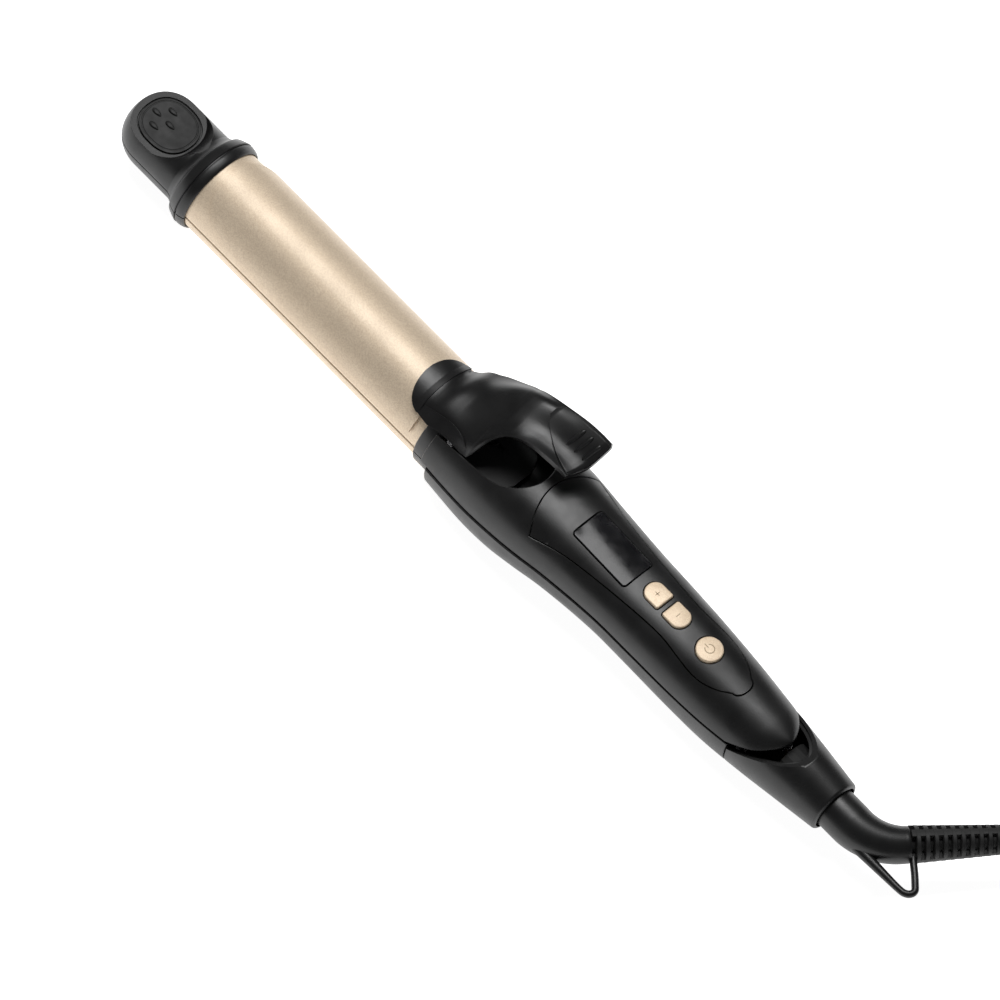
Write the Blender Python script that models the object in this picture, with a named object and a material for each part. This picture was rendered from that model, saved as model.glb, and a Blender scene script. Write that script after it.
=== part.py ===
"""Two-arm hair iron: a split heated barrel with a curling clamp, on a hinged two-shell handle.

Stations are millimetres along the wand from the cool tip's end (s), sideways (y) and
above the wand's axis (z). place() turns them into metres in the part's own frame:
+X towards the tip, +Z up, the origin in the middle of the flat that the handle rests on.
"""
import math

import bmesh
import bpy
from mathutils import Matrix, Vector

MM = 0.001
AXIS_HEIGHT = 17.7
ORIGIN_S = 174.0

# Small clearances
GAP = 0.3
SPLIT = 0.25

# Cool tip and its collar
TIP_RADIUS = 14.0
TIP_DOME = 13.0
COLLAR_RADIUS = 17.6
COLLAR_START = 29.9
COLLAR_END = 40.6
TIP_FLAT = 7.5
TIP_FLAT_END = 26.0
PAD_CENTRE = 14.5
PAD_HALF = (10.3, 9.4)

# Heated barrel and the clamp
BARREL_RADIUS = 15.9
BARREL_WALL = 1.4
BARREL_START = 36.7
BARREL_END = 155.4
PLATE_INNER = 16.25
PLATE_OUTER = 17.0
PLATE_START = 43.8
PLATE_END = 147.4
PLATE_HALF_ANGLE = 71.0
RING_START = 151.4
RING_RADIUS = 17.0

# Handle shells: station, half width, top, bottom, widest level, roundness
WALL = 2.0
HANDLE = [
    (150.0, 17.9, 18.1, -17.9, 0.0, 2.0),
    (164.0, 19.2, 19.4, -19.2, 0.5, 2.05),
    (178.0, 20.1, 20.6, -19.8, 1.0, 2.15),
    (190.0, 20.2, 20.9, -17.6, 1.6, 2.25),
    (200.0, 19.7, 20.7, -13.6, 2.2, 2.35),
    (214.0, 18.1, 20.0, -9.9, 3.0, 2.45),
    (235.0, 16.4, 18.8, -8.9, 3.4, 2.5),
    (252.0, 15.9, 18.1, -10.8, 2.8, 2.45),
    (269.0, 15.4, 17.1, -13.5, 1.6, 2.35),
    (286.0, 14.6, 15.4, -15.0, 0.2, 2.25),
    (302.0, 13.2, 13.9, -14.0, -0.4, 2.1),
    (318.0, 11.5, 12.4, -11.9, -0.2, 2.0),
    (334.0, 9.6, 9.7, -9.5, 0.0, 2.0),
]
SEAM = [
    (150.0, 1.4),
    (164.0, 1.9),
    (178.0, 2.6),
    (190.0, 3.8),
    (200.0, 4.7),
    (214.0, 5.6),
    (235.0, 6.0),
    (252.0, 5.3),
    (269.0, 4.3),
    (282.0, 3.9),
    (294.5, 4.1),
]
UPPER_START = 156.3
LOWER_START = 159.2
LOWER_SWELL = 0.5
REAR_CUT_START = 294.5
REAR_CUT_SLOPE = 0.4
PAD_REAR = 201.7
PAD_FACE = 1.35
PAD_UNDERSIDE = 0.9
BAR_LIFT = 1.2
BAR_RADIUS = 0.8
RIB_GROOVE = 0.9
RIB_GAP = 1.25
UPPER_END = 310.2
LOWER_END = 295.7
TAIL_START = 296.2
TAIL_END = 333.6
TAIL_CUT = (296.6, 2.1)
TAIL_CUT_SLOPE = 0.43
REST_LEVEL = -AXIS_HEIGHT

# Well under the lever, open at the handle's top
WELL_HALF = 12.9
WELL_STRAIGHT = 178.0
WELL_END = 193.2

# Console panel in the upper shell
CONSOLE = [
    (203.2, 15.6),
    (213.8, 13.0),
    (223.6, 11.4),
    (240.0, 9.5),
    (256.7, 8.3),
    (266.7, 9.0),
    (272.0, 9.3),
    (277.0, 8.8),
    (282.5, 6.8),
    (286.8, 4.0),
]
CONSOLE_END = 289.2
CONSOLE_BOW = 6.4
CONSOLE_THICKNESS = 1.8
LENS_CENTRE = 225.0
LENS_HALF = (12.3, 6.5)
LENS_CORNER = 1.2
LENS_THICKNESS = 1.4
KEY_LENGTH = 8.4
KEY_HALF_WIDTH = 3.85
PLUS_START = 241.6
MINUS_START = 252.0
POWER_CENTRE = 271.0
POWER_RADIUS = 4.65
KEY_PROUD = 0.6
KEY_DEPTH = 2.4

# Hinges
ARM_PIN = (300.0, 1.0)
ARM_PIN_RADIUS = 1.5
LEVER_PIN = (161.0, 11.6)
LEVER_PIN_RADIUS = 1.25

# Lever: station, then five (y, z) guide points from the near edge to the far edge
LEVER = [
    (146.5, (12.4, 13.2), (7.0, 16.7), (0.0, 18.1), (-6.9, 16.7), (-12.0, 13.45)),
    (149.0, (12.8, 13.3), (7.1, 17.2), (0.0, 18.8), (-7.1, 17.7), (-12.9, 14.8)),
    (152.0, (13.2, 13.6), (7.4, 18.0), (0.0, 20.0), (-7.6, 19.6), (-14.5, 17.4)),
    (155.6, (12.5, 14.3), (7.6, 18.5), (-0.3, 20.8), (-8.3, 21.2), (-15.6, 19.2)),
    (158.0, (12.4, 14.8), (7.6, 18.9), (-0.5, 21.4), (-9.0, 22.6), (-16.4, 20.4)),
    (164.0, (12.4, 15.0), (8.0, 19.6), (-1.0, 23.8), (-11.3, 26.7), (-17.3, 23.8)),
    (168.5, (12.4, 15.0), (8.3, 20.4), (-1.4, 25.6), (-12.5, 29.4), (-17.6, 27.0)),
    (169.5, (11.9, 16.0), (7.6, 21.4), (-1.7, 26.2), (-12.7, 30.0), (-17.6, 27.5)),
    (172.0, (5.4, 22.6), (2.4, 25.1), (-3.8, 28.2), (-13.0, 31.2), (-17.8, 29.0)),
    (176.0, (1.8, 26.9), (-1.0, 28.4), (-6.2, 30.0), (-13.4, 32.4), (-17.8, 31.0)),
    (183.0, (-0.2, 30.0), (-3.8, 30.0), (-8.0, 30.6), (-14.0, 33.2), (-17.9, 33.4)),
    (192.0, (-0.9, 31.2), (-4.6, 30.4), (-8.7, 31.0), (-14.0, 34.1), (-18.0, 36.0)),
    (198.0, (-1.2, 30.4), (-5.2, 30.2), (-9.6, 31.2), (-14.4, 34.4), (-18.1, 36.4)),
]
LEVER_NOSE = 138.0
REAR_EDGE = [(0.0, 199.3), (0.3, 201.1), (0.5, 202.0), (0.8, 202.7), (0.93, 202.6), (1.0, 201.9)]
PADDLE_REAR = 198.0
PADDLE_TAIL = 4.0
GRIP = [(180.2, -12.0, -15.0), (182.2, -9.8, -16.4), (185.6, -7.4, -16.8), (189.7, -4.9, -16.9),
        (193.4, -3.0, -17.0), (198.0, -1.8, -17.2), (202.0, -1.8, -17.2)]
BARS = ((191.6, 192.9), (195.1, 196.4), (198.8, 199.9))
BAR_SPAN = (-8.6, -15.7)
LEVER_WALL = 1.8
NOSE_HALF_ANGLE = 43.5

# Swivel, elbow, hang loop and strain relief
BEND = math.radians(54.0)
BEND_START = 341.5
BEND_RADIUS = 20.0
ELBOW_RADII = (7.5, 6.15)
ELBOW_TAIL = 1.2
LOOP_WIRE = 1.25
LOOP_ROUTE = [
    (346.0, 4.4),
    (360.0, 4.4),
    (368.0, 4.3),
    (370.5, 3.7),
    (371.7, 2.3),
    (371.6, 0.7),
    (370.2, -0.8),
    (367.0, -2.9),
    (364.0, -4.3),
    (360.9, -5.2),
]
RELIEF_LENGTH = 46.0
RELIEF_RADII = (6.3, 4.2)
RELIEF_PITCH = 2.97
RELIEF_RIBS = 14

# Cord: radius, wound coil and plug
CORD_RADIUS = 3.0
COIL_INNER = 23.7
COIL_OUTER = 42.3
COIL_TOP = 18.6
COIL_MEAN = 39.0
CORD_DROP = 40.0
PLUG_LENGTH = 34.0


def place(s, y, z):
    """A point in metres from a station, a side and a height over the wand's axis."""
    return Vector(((ORIGIN_S - s) * MM, y * MM, (AXIS_HEIGHT + z) * MM))


def along(table, s):
    """Smooth reading of every column of a station table."""
    last = len(table) - 2
    index = 0
    while index < last and s > table[index + 1][0]:
        index += 1
    before = table[max(index - 1, 0)]
    left = table[index]
    right = table[index + 1]
    after = table[min(index + 2, len(table) - 1)]
    span = right[0] - left[0]
    t = min(max((s - left[0]) / span, 0.0), 1.0)
    values = []
    for column in range(1, len(left)):
        slope_left = (right[column] - before[column]) / (right[0] - before[0]) * span
        slope_right = (after[column] - left[column]) / (after[0] - left[0]) * span
        a = 2 * t ** 3 - 3 * t ** 2 + 1
        b = t ** 3 - 2 * t ** 2 + t
        c = 3 * t ** 2 - 2 * t ** 3
        d = t ** 3 - t ** 2
        values.append(a * left[column] + b * slope_left + c * right[column] + d * slope_right)
    return values


def spread(start, end, count):
    """Evenly spaced numbers, both ends included."""
    return [start + (end - start) * i / (count - 1) for i in range(count)]


# Materials

def material(name, colour, roughness, metallic=0.0):
    made = bpy.data.materials.new(name)
    made.use_nodes = True
    shader = made.node_tree.nodes["Principled BSDF"]
    shader.inputs["Base Color"].default_value = (*colour, 1.0)
    shader.inputs["Roughness"].default_value = roughness
    shader.inputs["Metallic"].default_value = metallic
    return made


def satin_black(name):
    return material(name, (0.018, 0.018, 0.019), 0.42)


def champagne(name):
    return material(name, (0.66, 0.50, 0.32), 0.34, 0.85)


def steel(name):
    return material(name, (0.58, 0.58, 0.60), 0.28, 1.0)


def brass(name):
    return material(name, (0.72, 0.52, 0.24), 0.3, 1.0)


def ceramic(name):
    return material(name, (0.82, 0.80, 0.76), 0.5)


def board_green(name):
    return material(name, (0.02, 0.16, 0.07), 0.45)


def rubber_black(name):
    return material(name, (0.012, 0.012, 0.012), 0.6)


# Mesh builders

def finish(name, bm, made, smooth=True):
    bmesh.ops.remove_doubles(bm, verts=bm.verts, dist=1e-7)
    bmesh.ops.recalc_face_normals(bm, faces=bm.faces)
    mesh = bpy.data.meshes.new(name)
    bm.to_mesh(mesh)
    bm.free()
    mesh.materials.append(made)
    if smooth:
        mesh.shade_smooth()
        mesh.set_sharp_from_angle(angle=math.radians(35))
    thing = bpy.data.objects.new(name, mesh)
    bpy.context.scene.collection.objects.link(thing)
    return thing


def solid_loft(name, rings, made):
    """Closed solid through rings of equal count, capped flat at both ends."""
    bm = bmesh.new()
    rows = [[bm.verts.new(p) for p in ring] for ring in rings]
    count = len(rows[0])
    for here, there in zip(rows, rows[1:]):
        for i in range(count):
            j = (i + 1) % count
            bm.faces.new((here[i], here[j], there[j], there[i]))
    bm.faces.new(rows[0])
    bm.faces.new(rows[-1])
    return finish(name, bm, made)


def shell_loft(name, stations, made, closed):
    """Wall between outer and inner curves at each station.

    closed walls go right round, and open ones end in an edge along both sides."""
    bm = bmesh.new()
    outer = [[bm.verts.new(p) for p in station[0]] for station in stations]
    inner = [[bm.verts.new(p) for p in station[1]] for station in stations]
    count = len(outer[0])
    steps = count if closed else count - 1
    for k in range(len(stations) - 1):
        for i in range(steps):
            j = (i + 1) % count
            bm.faces.new((outer[k][i], outer[k][j], outer[k + 1][j], outer[k + 1][i]))
            bm.faces.new((inner[k][i], inner[k][j], inner[k + 1][j], inner[k + 1][i]))
        if not closed:
            for i in (0, count - 1):
                bm.faces.new((outer[k][i], inner[k][i], inner[k + 1][i], outer[k + 1][i]))
    for k in (0, len(stations) - 1):
        for i in range(steps):
            j = (i + 1) % count
            bm.faces.new((outer[k][i], outer[k][j], inner[k][j], inner[k][i]))
    return finish(name, bm, made)


def turned(name, profile, made, segments=24, centre=(0.0, 0.0)):
    """Solid turned about a line along the wand. The profile is (s, radius) and starts
    and ends on the line, or runs round a ring's section and closes on itself."""
    ring_shaped = profile[0][1] > 0
    bm = bmesh.new()
    rows = []
    for s, radius in profile:
        if radius == 0:
            rows.append([bm.verts.new(place(s, centre[0], centre[1]))])
            continue
        row = []
        for i in range(segments):
            a = 2 * math.pi * i / segments
            row.append(bm.verts.new(place(s, centre[0] + radius * math.sin(a),
                                          centre[1] + radius * math.cos(a))))
        rows.append(row)
    pairs = list(zip(rows, rows[1:]))
    if ring_shaped:
        pairs.append((rows[-1], rows[0]))
    for here, there in pairs:
        for i in range(segments):
            j = (i + 1) % segments
            corners = [here[i % len(here)], here[j % len(here)],
                       there[j % len(there)], there[i % len(there)]]
            corners = list(dict.fromkeys(corners))
            bm.faces.new(corners)
    return finish(name, bm, made)


def prism(name, outline, low, high, made, smooth=False):
    """Solid on a plan outline of (s, y), between two levels, given as numbers or as
    functions of (s, y)."""
    bm = bmesh.new()
    rows = []
    for level in (low, high):
        row = []
        for s, y in outline:
            z = level(s, y) if callable(level) else level
            row.append(bm.verts.new(place(s, y, z)))
        rows.append(row)
    count = len(outline)
    for i in range(count):
        j = (i + 1) % count
        bm.faces.new((rows[0][i], rows[0][j], rows[1][j], rows[1][i]))
    bm.faces.new(rows[0])
    bm.faces.new(rows[1])
    return finish(name, bm, made, smooth)


def block(name, s_range, y_range, z_range, made):
    outline = [(s_range[0], y_range[0]), (s_range[1], y_range[0]),
               (s_range[1], y_range[1]), (s_range[0], y_range[1])]
    return prism(name, outline, z_range[0], z_range[1], made)


def rod(name, start, end, radius, made, segments=16):
    """Round bar between two points given as (s, y, z)."""
    first = place(*start)
    last = place(*end)
    bm = bmesh.new()
    turn = (last - first).to_track_quat("Z", "Y").to_matrix().to_4x4()
    length = (last - first).length
    bmesh.ops.create_cone(bm, cap_ends=True, segments=segments, radius1=radius * MM,
                          radius2=radius * MM, depth=length,
                          matrix=Matrix.Translation((first + last) / 2) @ turn)
    return finish(name, bm, made)


def sweep(name, points, radii, made, segments=16):
    """Round solid along a route of (s, y, z) points in a level plane."""
    spots = [place(*p) for p in points]
    rings = []
    for k, spot in enumerate(spots):
        ahead = spots[min(k + 1, len(spots) - 1)]
        behind = spots[max(k - 1, 0)]
        direction = (ahead - behind).normalized()
        side = direction.cross(Vector((0, 0, 1))).normalized()
        up = side.cross(direction)
        ring = []
        for i in range(segments):
            a = 2 * math.pi * i / segments
            ring.append(spot + (side * math.cos(a) + up * math.sin(a)) * radii[k] * MM)
        rings.append(ring)
    return solid_loft(name, rings, made)


def cut(target, cutter, operation="DIFFERENCE"):
    """Boolean on target by a guide that isn't part of the model."""
    cutter.hide_render = True
    cutter.display_type = "WIRE"
    step = target.modifiers.new(cutter.name, "BOOLEAN")
    step.operation = operation
    step.object = cutter
    step.solver = "EXACT"


def guide_material():
    return material("guide", (0.5, 0.5, 0.5), 0.5)


# Outlines

def rounded_outline(centre, half_length, half_width, corner, steps=5, grow=0.0):
    """Plan rectangle with round corners."""
    outline = []
    length = half_length + grow
    width = half_width + grow
    radius = corner + grow
    for quarter in range(4):
        sign_s = (1, -1, -1, 1)[quarter]
        sign_y = (1, 1, -1, -1)[quarter]
        for i in range(steps + 1):
            a = math.radians(90 * quarter + 90 * i / steps)
            outline.append((centre + sign_s * (length - radius) + radius * math.cos(a),
                            sign_y * (width - radius) + radius * math.sin(a)))
    return outline


def key_outline(start, round_first, grow=0.0):
    """Key with one nearly semicircular end and one with small corners."""
    outline = []
    end = start + KEY_LENGTH
    half = KEY_HALF_WIDTH + grow
    bulge = 3.4 + grow
    corner = 0.9 + grow
    flip = -1 if round_first else 1
    straight_end = (end if round_first else start) - flip * grow
    round_end = (start if round_first else end) + flip * grow
    for i in range(9):
        a = math.radians(-90 + 180 * i / 8)
        outline.append((round_end - flip * bulge + flip * bulge * math.cos(a), half * math.sin(a)))
    for side in (1, -1):
        for i in range(4):
            a = math.radians(90 * i / 3)
            along_s = math.sin(a) if side == 1 else math.cos(a)
            across = math.cos(a) if side == 1 else math.sin(a)
            outline.append((straight_end + flip * corner - flip * corner * along_s,
                            side * (half - corner + corner * across)))
    return outline


def circle_outline(centre, radius, count=24):
    return [(centre + radius * math.cos(2 * math.pi * i / count),
             radius * math.sin(2 * math.pi * i / count)) for i in range(count)]


# Handle surface

def handle_point(s, turn, inset=0.0):
    """(y, z) on the handle's section. turn is 0 on top and grows towards +Y."""
    width, top, bottom, level, power = along(HANDLE, s)
    cos_t = math.cos(turn)
    sin_t = math.sin(turn)
    height = (top - level if cos_t >= 0 else level - bottom) - inset
    y = (width - inset) * math.copysign(abs(sin_t) ** (2 / power), sin_t)
    z = level + height * math.copysign(abs(cos_t) ** (2 / power), cos_t)
    return y, max(z, REST_LEVEL + max(inset, 0.0))


def turn_at_level(s, z, inset=0.0):
    """Section angle on the +Y side where the handle's surface is at level z."""
    width, top, bottom, level, power = along(HANDLE, s)
    height = (top - level if z >= level else level - bottom) - inset
    share = min(abs(z - level) / height, 1.0)
    angle = math.acos(share ** (power / 2))
    return angle if z >= level else math.pi - angle


def top_level(s, y, inset=0.0):
    """Height of the handle's upper surface over a plan point."""
    width, top, bottom, level, power = along(HANDLE, s)
    share = min(abs(y) / (width - inset), 1.0)
    return level + (top - level - inset) * (1 - share ** power) ** (1 / power)


def seam_level(s):
    if s <= REAR_CUT_START:
        return along(SEAM, s)[0]
    return along(SEAM, REAR_CUT_START)[0] + (s - REAR_CUT_START) * REAR_CUT_SLOPE


def half_section(s, level, inset, count, upper):
    """Curve over the top, or under the bottom, between the two points at one level."""
    edge = turn_at_level(s, level, inset)
    start, end = (edge, -edge) if upper else (edge, 2 * math.pi - edge)
    curve = []
    for turn in spread(start, end, count):
        y, z = handle_point(s, turn, inset)
        curve.append(place(s, y, z))
    return curve


# Handle parts

def upper_shell():
    stations = []
    levels = spread(UPPER_START, 290.0, 15) + [294.5, 299.0, 304.0, 308.0, UPPER_END]
    for s in levels:
        level = seam_level(s) + GAP
        outer = half_section(s, level, 0.0, 17, True)
        inner = half_section(s, level, WALL, 17, True)
        if top_level(s, 0.0, WALL) < level + 0.4:
            edge = max(handle_point(s, turn_at_level(s, level))[0] - 1.2, 0.8)
            inner = [place(s, y, level) for y in spread(edge, -edge, 17)]
        stations.append((outer, inner))
    shell = shell_loft("upper_shell", stations, satin_black("upper_shell"), False)
    cut(shell, prism("well_cutter", well_outline(), 5.0, 30.0, guide_material()))
    cut(shell, prism("console_cutter", console_outline(GAP), 8.0, 30.0, guide_material()))


def well_outline():
    outline = [(UPPER_START - 4.0, WELL_HALF), (WELL_STRAIGHT, WELL_HALF)]
    for i in range(1, 8):
        a = math.radians(90 * i / 8)
        outline.append((WELL_STRAIGHT + (WELL_END - WELL_STRAIGHT) * math.sin(a),
                        WELL_HALF * math.cos(a)))
    mirrored = [(s, -y) for s, y in reversed(outline)]
    return outline + [(WELL_END, 0.0)] + mirrored


def lower_swell(s):
    """How far the lower shell stands out past the upper one: most at the front."""
    return LOWER_SWELL * min(max((LOWER_END - s) / 90.0, 0.0), 1.0)


def lower_shell():
    stations = []
    for s in spread(LOWER_START, LOWER_END, 15):
        level = seam_level(s) - GAP
        if s > REAR_CUT_START:
            level = along(SEAM, REAR_CUT_START)[0] - GAP
        stations.append((half_section(s, level, -lower_swell(s), 17, False),
                         half_section(s, level, WALL, 17, False)))
    return shell_loft("lower_shell", stations, satin_black("lower_shell"), False)


def tail_cone():
    stations = []
    for s in spread(TAIL_START, TAIL_END - 1.2, 7) + [TAIL_END]:
        lip = 1.0 if s == TAIL_END else 0.0
        outer = []
        inner = []
        for i in range(24):
            turn = 2 * math.pi * i / 24
            y, z = handle_point(s, turn)
            length = math.hypot(y, z)
            outer.append(place(s, y * (1 - lip / length), z * (1 - lip / length)))
            bore = min(length - WALL, 8.9 if s > 320 else length)
            bore = max(bore, 7.9)
            inner.append(place(s, y * bore / length, z * bore / length))
        stations.append((outer, inner))
    cone = shell_loft("tail_cone", stations, satin_black("tail_cone"), True)
    area = [(TAIL_START - 8.0, -20.0), (TAIL_START + 40.0, -20.0),
            (TAIL_START + 40.0, 20.0), (TAIL_START - 8.0, 20.0)]
    cut(cone, prism("tail_cutter", area, tail_level, 40.0, guide_material()))


def tail_level(s, y):
    """Sloping rim where the tail cone meets the upper shell's rear end."""
    return TAIL_CUT[1] + (s - TAIL_CUT[0]) * TAIL_CUT_SLOPE


def shell_cover(name, stations, made):
    """Inner cover of one arm: (station, half width, low, high) sections."""
    rings = []
    for s, half, low, high in stations:
        rings.append([place(s, half, low), place(s, -half, low),
                      place(s, -half, high), place(s, half, high)])
    return solid_loft(name, rings, made)


def arm_chassis():
    """Cover of the upper arm with the hinge tongue at its rear."""
    stations = []
    for s in spread(159.0, 283.0, 12):
        half = along(HANDLE, s)[0] - WALL - 1.6
        level = seam_level(s) + 2 * GAP
        stations.append((s, half, level, level + 1.5))
    last = stations[-1]
    stations.append((283.6, 6.5, last[2], last[3]))
    stations.append((288.0, 6.5, 1.2, 7.2))
    stations.append((294.0, 6.5, -2.2, 6.4))
    stations.append((300.0, 6.5, -2.6, 5.0))
    stations.append((304.6, 6.5, -2.0, 3.6))
    chassis = shell_cover("arm_chassis", stations, satin_black("arm_chassis"))
    cut(chassis, rod("arm_bore", (ARM_PIN[0], -12, ARM_PIN[1]), (ARM_PIN[0], 12, ARM_PIN[1]),
                     ARM_PIN_RADIUS + 0.15, guide_material(), 24))


def lower_cover():
    stations = []
    for s in spread(159.0, 281.0, 12):
        half = along(HANDLE, s)[0] - WALL - 1.0
        level = seam_level(s) - 2.6
        stations.append((s, half, level, level + 1.4))
    return shell_cover("lower_cover", stations, satin_black("lower_cover"))


def lever_well():
    """Low tray on the floor of the well, with two posts that hold the lever's pin."""
    outline = [(158.2, 11.9), (177.0, 11.9), (182.0, 9.0), (184.6, 4.0)]
    outline = outline + [(s, -y) for s, y in reversed(outline)]
    floor = 6.9
    tray = prism("lever_well", outline, floor, floor + 1.3, satin_black("lever_well"))
    for side in (1, -1):
        post = block("well_post_%d" % (side + 1), (LEVER_PIN[0] - 2.6, LEVER_PIN[0] + 2.6),
                     (side * 9.2, side * 10.4), (floor + 0.5, LEVER_PIN[1] + 2.0), guide_material())
        cut(tray, post, "UNION")
    cut(tray, rod("lever_bore", (LEVER_PIN[0], -13, LEVER_PIN[1]), (LEVER_PIN[0], 13, LEVER_PIN[1]),
                  LEVER_PIN_RADIUS + 0.12, guide_material(), 24))


# Console

def console_half(s):
    if s >= CONSOLE[-1][0]:
        share = (s - CONSOLE[-1][0]) / (CONSOLE_END - CONSOLE[-1][0])
        return CONSOLE[-1][1] * math.sqrt(max(1 - share ** 2, 0.0))
    return along(CONSOLE, s)[0]


def console_rows():
    """Plan stations of the panel, closer together round its rear end."""
    return spread(CONSOLE[0][0], 276.0, 9) + [281.0, 284.5, 286.8, 288.5]


def console_plan(s, share, grow=0.0):
    """Plan point at a share (-1 to 1) of the panel's width. The front edge bows forward."""
    fade = max(1 - (s - CONSOLE[0][0]) / 14.0, 0.0)
    bow = CONSOLE_BOW * (1 - share ** 2) * fade
    rear = grow * (s - CONSOLE[-1][0]) / (CONSOLE_END - CONSOLE[-1][0]) if s > CONSOLE[-1][0] else 0
    return s - bow + rear, share * (console_half(s) + grow)


def console_outline(grow):
    front = [console_plan(CONSOLE[0][0], share, grow) for share in spread(-1, 1, 13)]
    front = [(s - grow, y) for s, y in front]
    near = [console_plan(s, 1, grow) for s in console_rows()[1:]]
    far = [console_plan(s, -1, grow) for s in reversed(console_rows()[1:])]
    return front + near + far


def console_panel():
    stations = []
    for s in console_rows():
        outer = []
        inner = []
        for share in spread(1, -1, 7):
            at_s, y = console_plan(s, share)
            outer.append(place(at_s, y, top_level(at_s, y)))
            inner.append(place(at_s, y, top_level(at_s, y) - CONSOLE_THICKNESS))
        stations.append((outer, inner))
    panel = shell_loft("console_panel", stations, satin_black("console_panel"), False)
    openings = [
        ("lens_cutter", rounded_outline(LENS_CENTRE, *LENS_HALF, LENS_CORNER, grow=GAP)),
        ("plus_cutter", key_outline(PLUS_START, True, GAP)),
        ("minus_cutter", key_outline(MINUS_START, False, GAP)),
        ("power_cutter", circle_outline(POWER_CENTRE, POWER_RADIUS + GAP)),
    ]
    for name, outline in openings:
        cut(panel, prism(name, outline, 8.0, 30.0, guide_material()))


def lens_level(s, y):
    """Sloping plane of the display lens's face."""
    slope = (top_level(LENS_CENTRE + 13, 0) - top_level(LENS_CENTRE - 13, 0)) / 26.0
    return top_level(LENS_CENTRE, 0) - 0.25 + slope * (s - LENS_CENTRE)


def lens_underside(s, y):
    return lens_level(s, y) - LENS_THICKNESS


def module_top(s, y):
    return lens_underside(s, y) - GAP


def display_parts():
    lens = rounded_outline(LENS_CENTRE, *LENS_HALF, LENS_CORNER)
    prism("display_lens", lens, lens_underside, lens_level,
          material("display_lens", (0.01, 0.01, 0.012), 0.06))
    outline = rounded_outline(LENS_CENTRE, 11.8, 5.8, 0.4, 1)
    prism("display_module", outline, 12.2, module_top,
          material("display_module", (0.3, 0.33, 0.3), 0.4))


def key(name, outline, made, inset=0.35):
    """Push key with a bevelled rim, standing a little proud of the panel."""
    centre_s = sum(s for s, y in outline) / len(outline)
    face = top_level(centre_s, 0) + KEY_PROUD
    bm = bmesh.new()
    rows = []
    for level, shrink in ((face - KEY_DEPTH, 0.0), (face - inset, 0.0), (face, inset)):
        row = []
        for s, y in outline:
            reach = math.hypot(s - centre_s, y)
            scale = 1 - shrink / reach
            row.append(bm.verts.new(place(centre_s + (s - centre_s) * scale, y * scale, level)))
        rows.append(row)
    count = len(outline)
    for here, there in zip(rows, rows[1:]):
        for i in range(count):
            j = (i + 1) % count
            bm.faces.new((here[i], here[j], there[j], there[i]))
    bm.faces.new(rows[0])
    bm.faces.new(rows[-1])
    return finish(name, bm, made)


def keys_and_switches():
    key("plus_key", key_outline(PLUS_START, True), champagne("plus_key"))
    key("minus_key", key_outline(MINUS_START, False), champagne("minus_key"))
    key("power_key", circle_outline(POWER_CENTRE, POWER_RADIUS), champagne("power_key"))
    board = [(207.0, 9.5), (240.0, 9.5), (262.0, 8.0), (281.0, 7.0)]
    board = board + [(s, -y) for s, y in reversed(board)]
    prism("control_board", board, 10.4, 11.8, board_green("control_board"))
    spots = (("plus_switch", PLUS_START + KEY_LENGTH / 2), ("minus_switch", MINUS_START + KEY_LENGTH / 2),
             ("power_switch", POWER_CENTRE))
    for name, centre in spots:
        top = top_level(centre, 0) + KEY_PROUD - KEY_DEPTH - 0.9
        switch = block(name, (centre - 2.2, centre + 2.2), (-2.2, 2.2), (12.1, 13.3), steel(name))
        stem = rod(name + "_stem", (centre, 0, 12.6), (centre, 0, top), 1.0, guide_material(), 12)
        cut(switch, stem, "UNION")


# Barrel and tip

def arc_points(s, radius, angles, lift=0.0):
    """Points on a circle about the wand's axis. Angles are degrees from the top towards +Y."""
    points = []
    for a in angles:
        t = math.radians(a)
        points.append(place(s, radius * math.sin(t), radius * math.cos(t) + lift))
    return points


def half_barrel(name, sign):
    """Half round tube whose flat side is the straightening plate."""
    stations = []
    for s in (BARREL_START, BARREL_END):
        loops = []
        for radius, level in ((BARREL_RADIUS, SPLIT), (BARREL_RADIUS - BARREL_WALL, SPLIT + BARREL_WALL)):
            edge = math.degrees(math.acos(level / radius))
            loop = []
            for a in spread(edge, -edge, 25):
                t = math.radians(a)
                loop.append(place(s, radius * math.sin(t), sign * radius * math.cos(t)))
            loops.append(loop)
        stations.append(tuple(loops))
    return shell_loft(name, stations, champagne(name), True)


def heater(name, sign):
    low = SPLIT + BARREL_WALL + GAP
    z_range = (sign * low, sign * (low + 1.6))
    return block(name, (60.0, 138.0), (-11.0, 11.0), z_range, ceramic(name))


def base_ring(name, sign, end):
    """Half collar between the barrel and the handle shell."""
    stations = []
    for s, radius in ((RING_START, RING_RADIUS - 0.5), (RING_START + 0.6, RING_RADIUS), (end, RING_RADIUS)):
        curves = []
        for r in (radius, BARREL_RADIUS + GAP):
            edge = math.degrees(math.acos(SPLIT / r))
            curve = []
            for a in spread(edge, -edge, 21):
                t = math.radians(a)
                curve.append(place(s, r * math.sin(t), sign * r * math.cos(t)))
            curves.append(curve)
        stations.append(tuple(curves))
    return shell_loft(name, stations, satin_black(name), False)


def tip_profile():
    profile = [(0.0, 0.0)]
    for i in range(1, 7):
        a = math.radians(90 * i / 6)
        profile.append((TIP_DOME * (1 - math.cos(a)), TIP_RADIUS * math.sin(a) ** 0.8))
    profile += [(COLLAR_START, TIP_RADIUS), (33.4, 16.4), (36.5, COLLAR_RADIUS),
                (38.6, 17.5), (COLLAR_END, 16.8), (COLLAR_END, 16.2), (36.4, 16.2),
                (36.4, 11.0), (30.5, 11.0), (30.5, 0.0)]
    return profile


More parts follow.
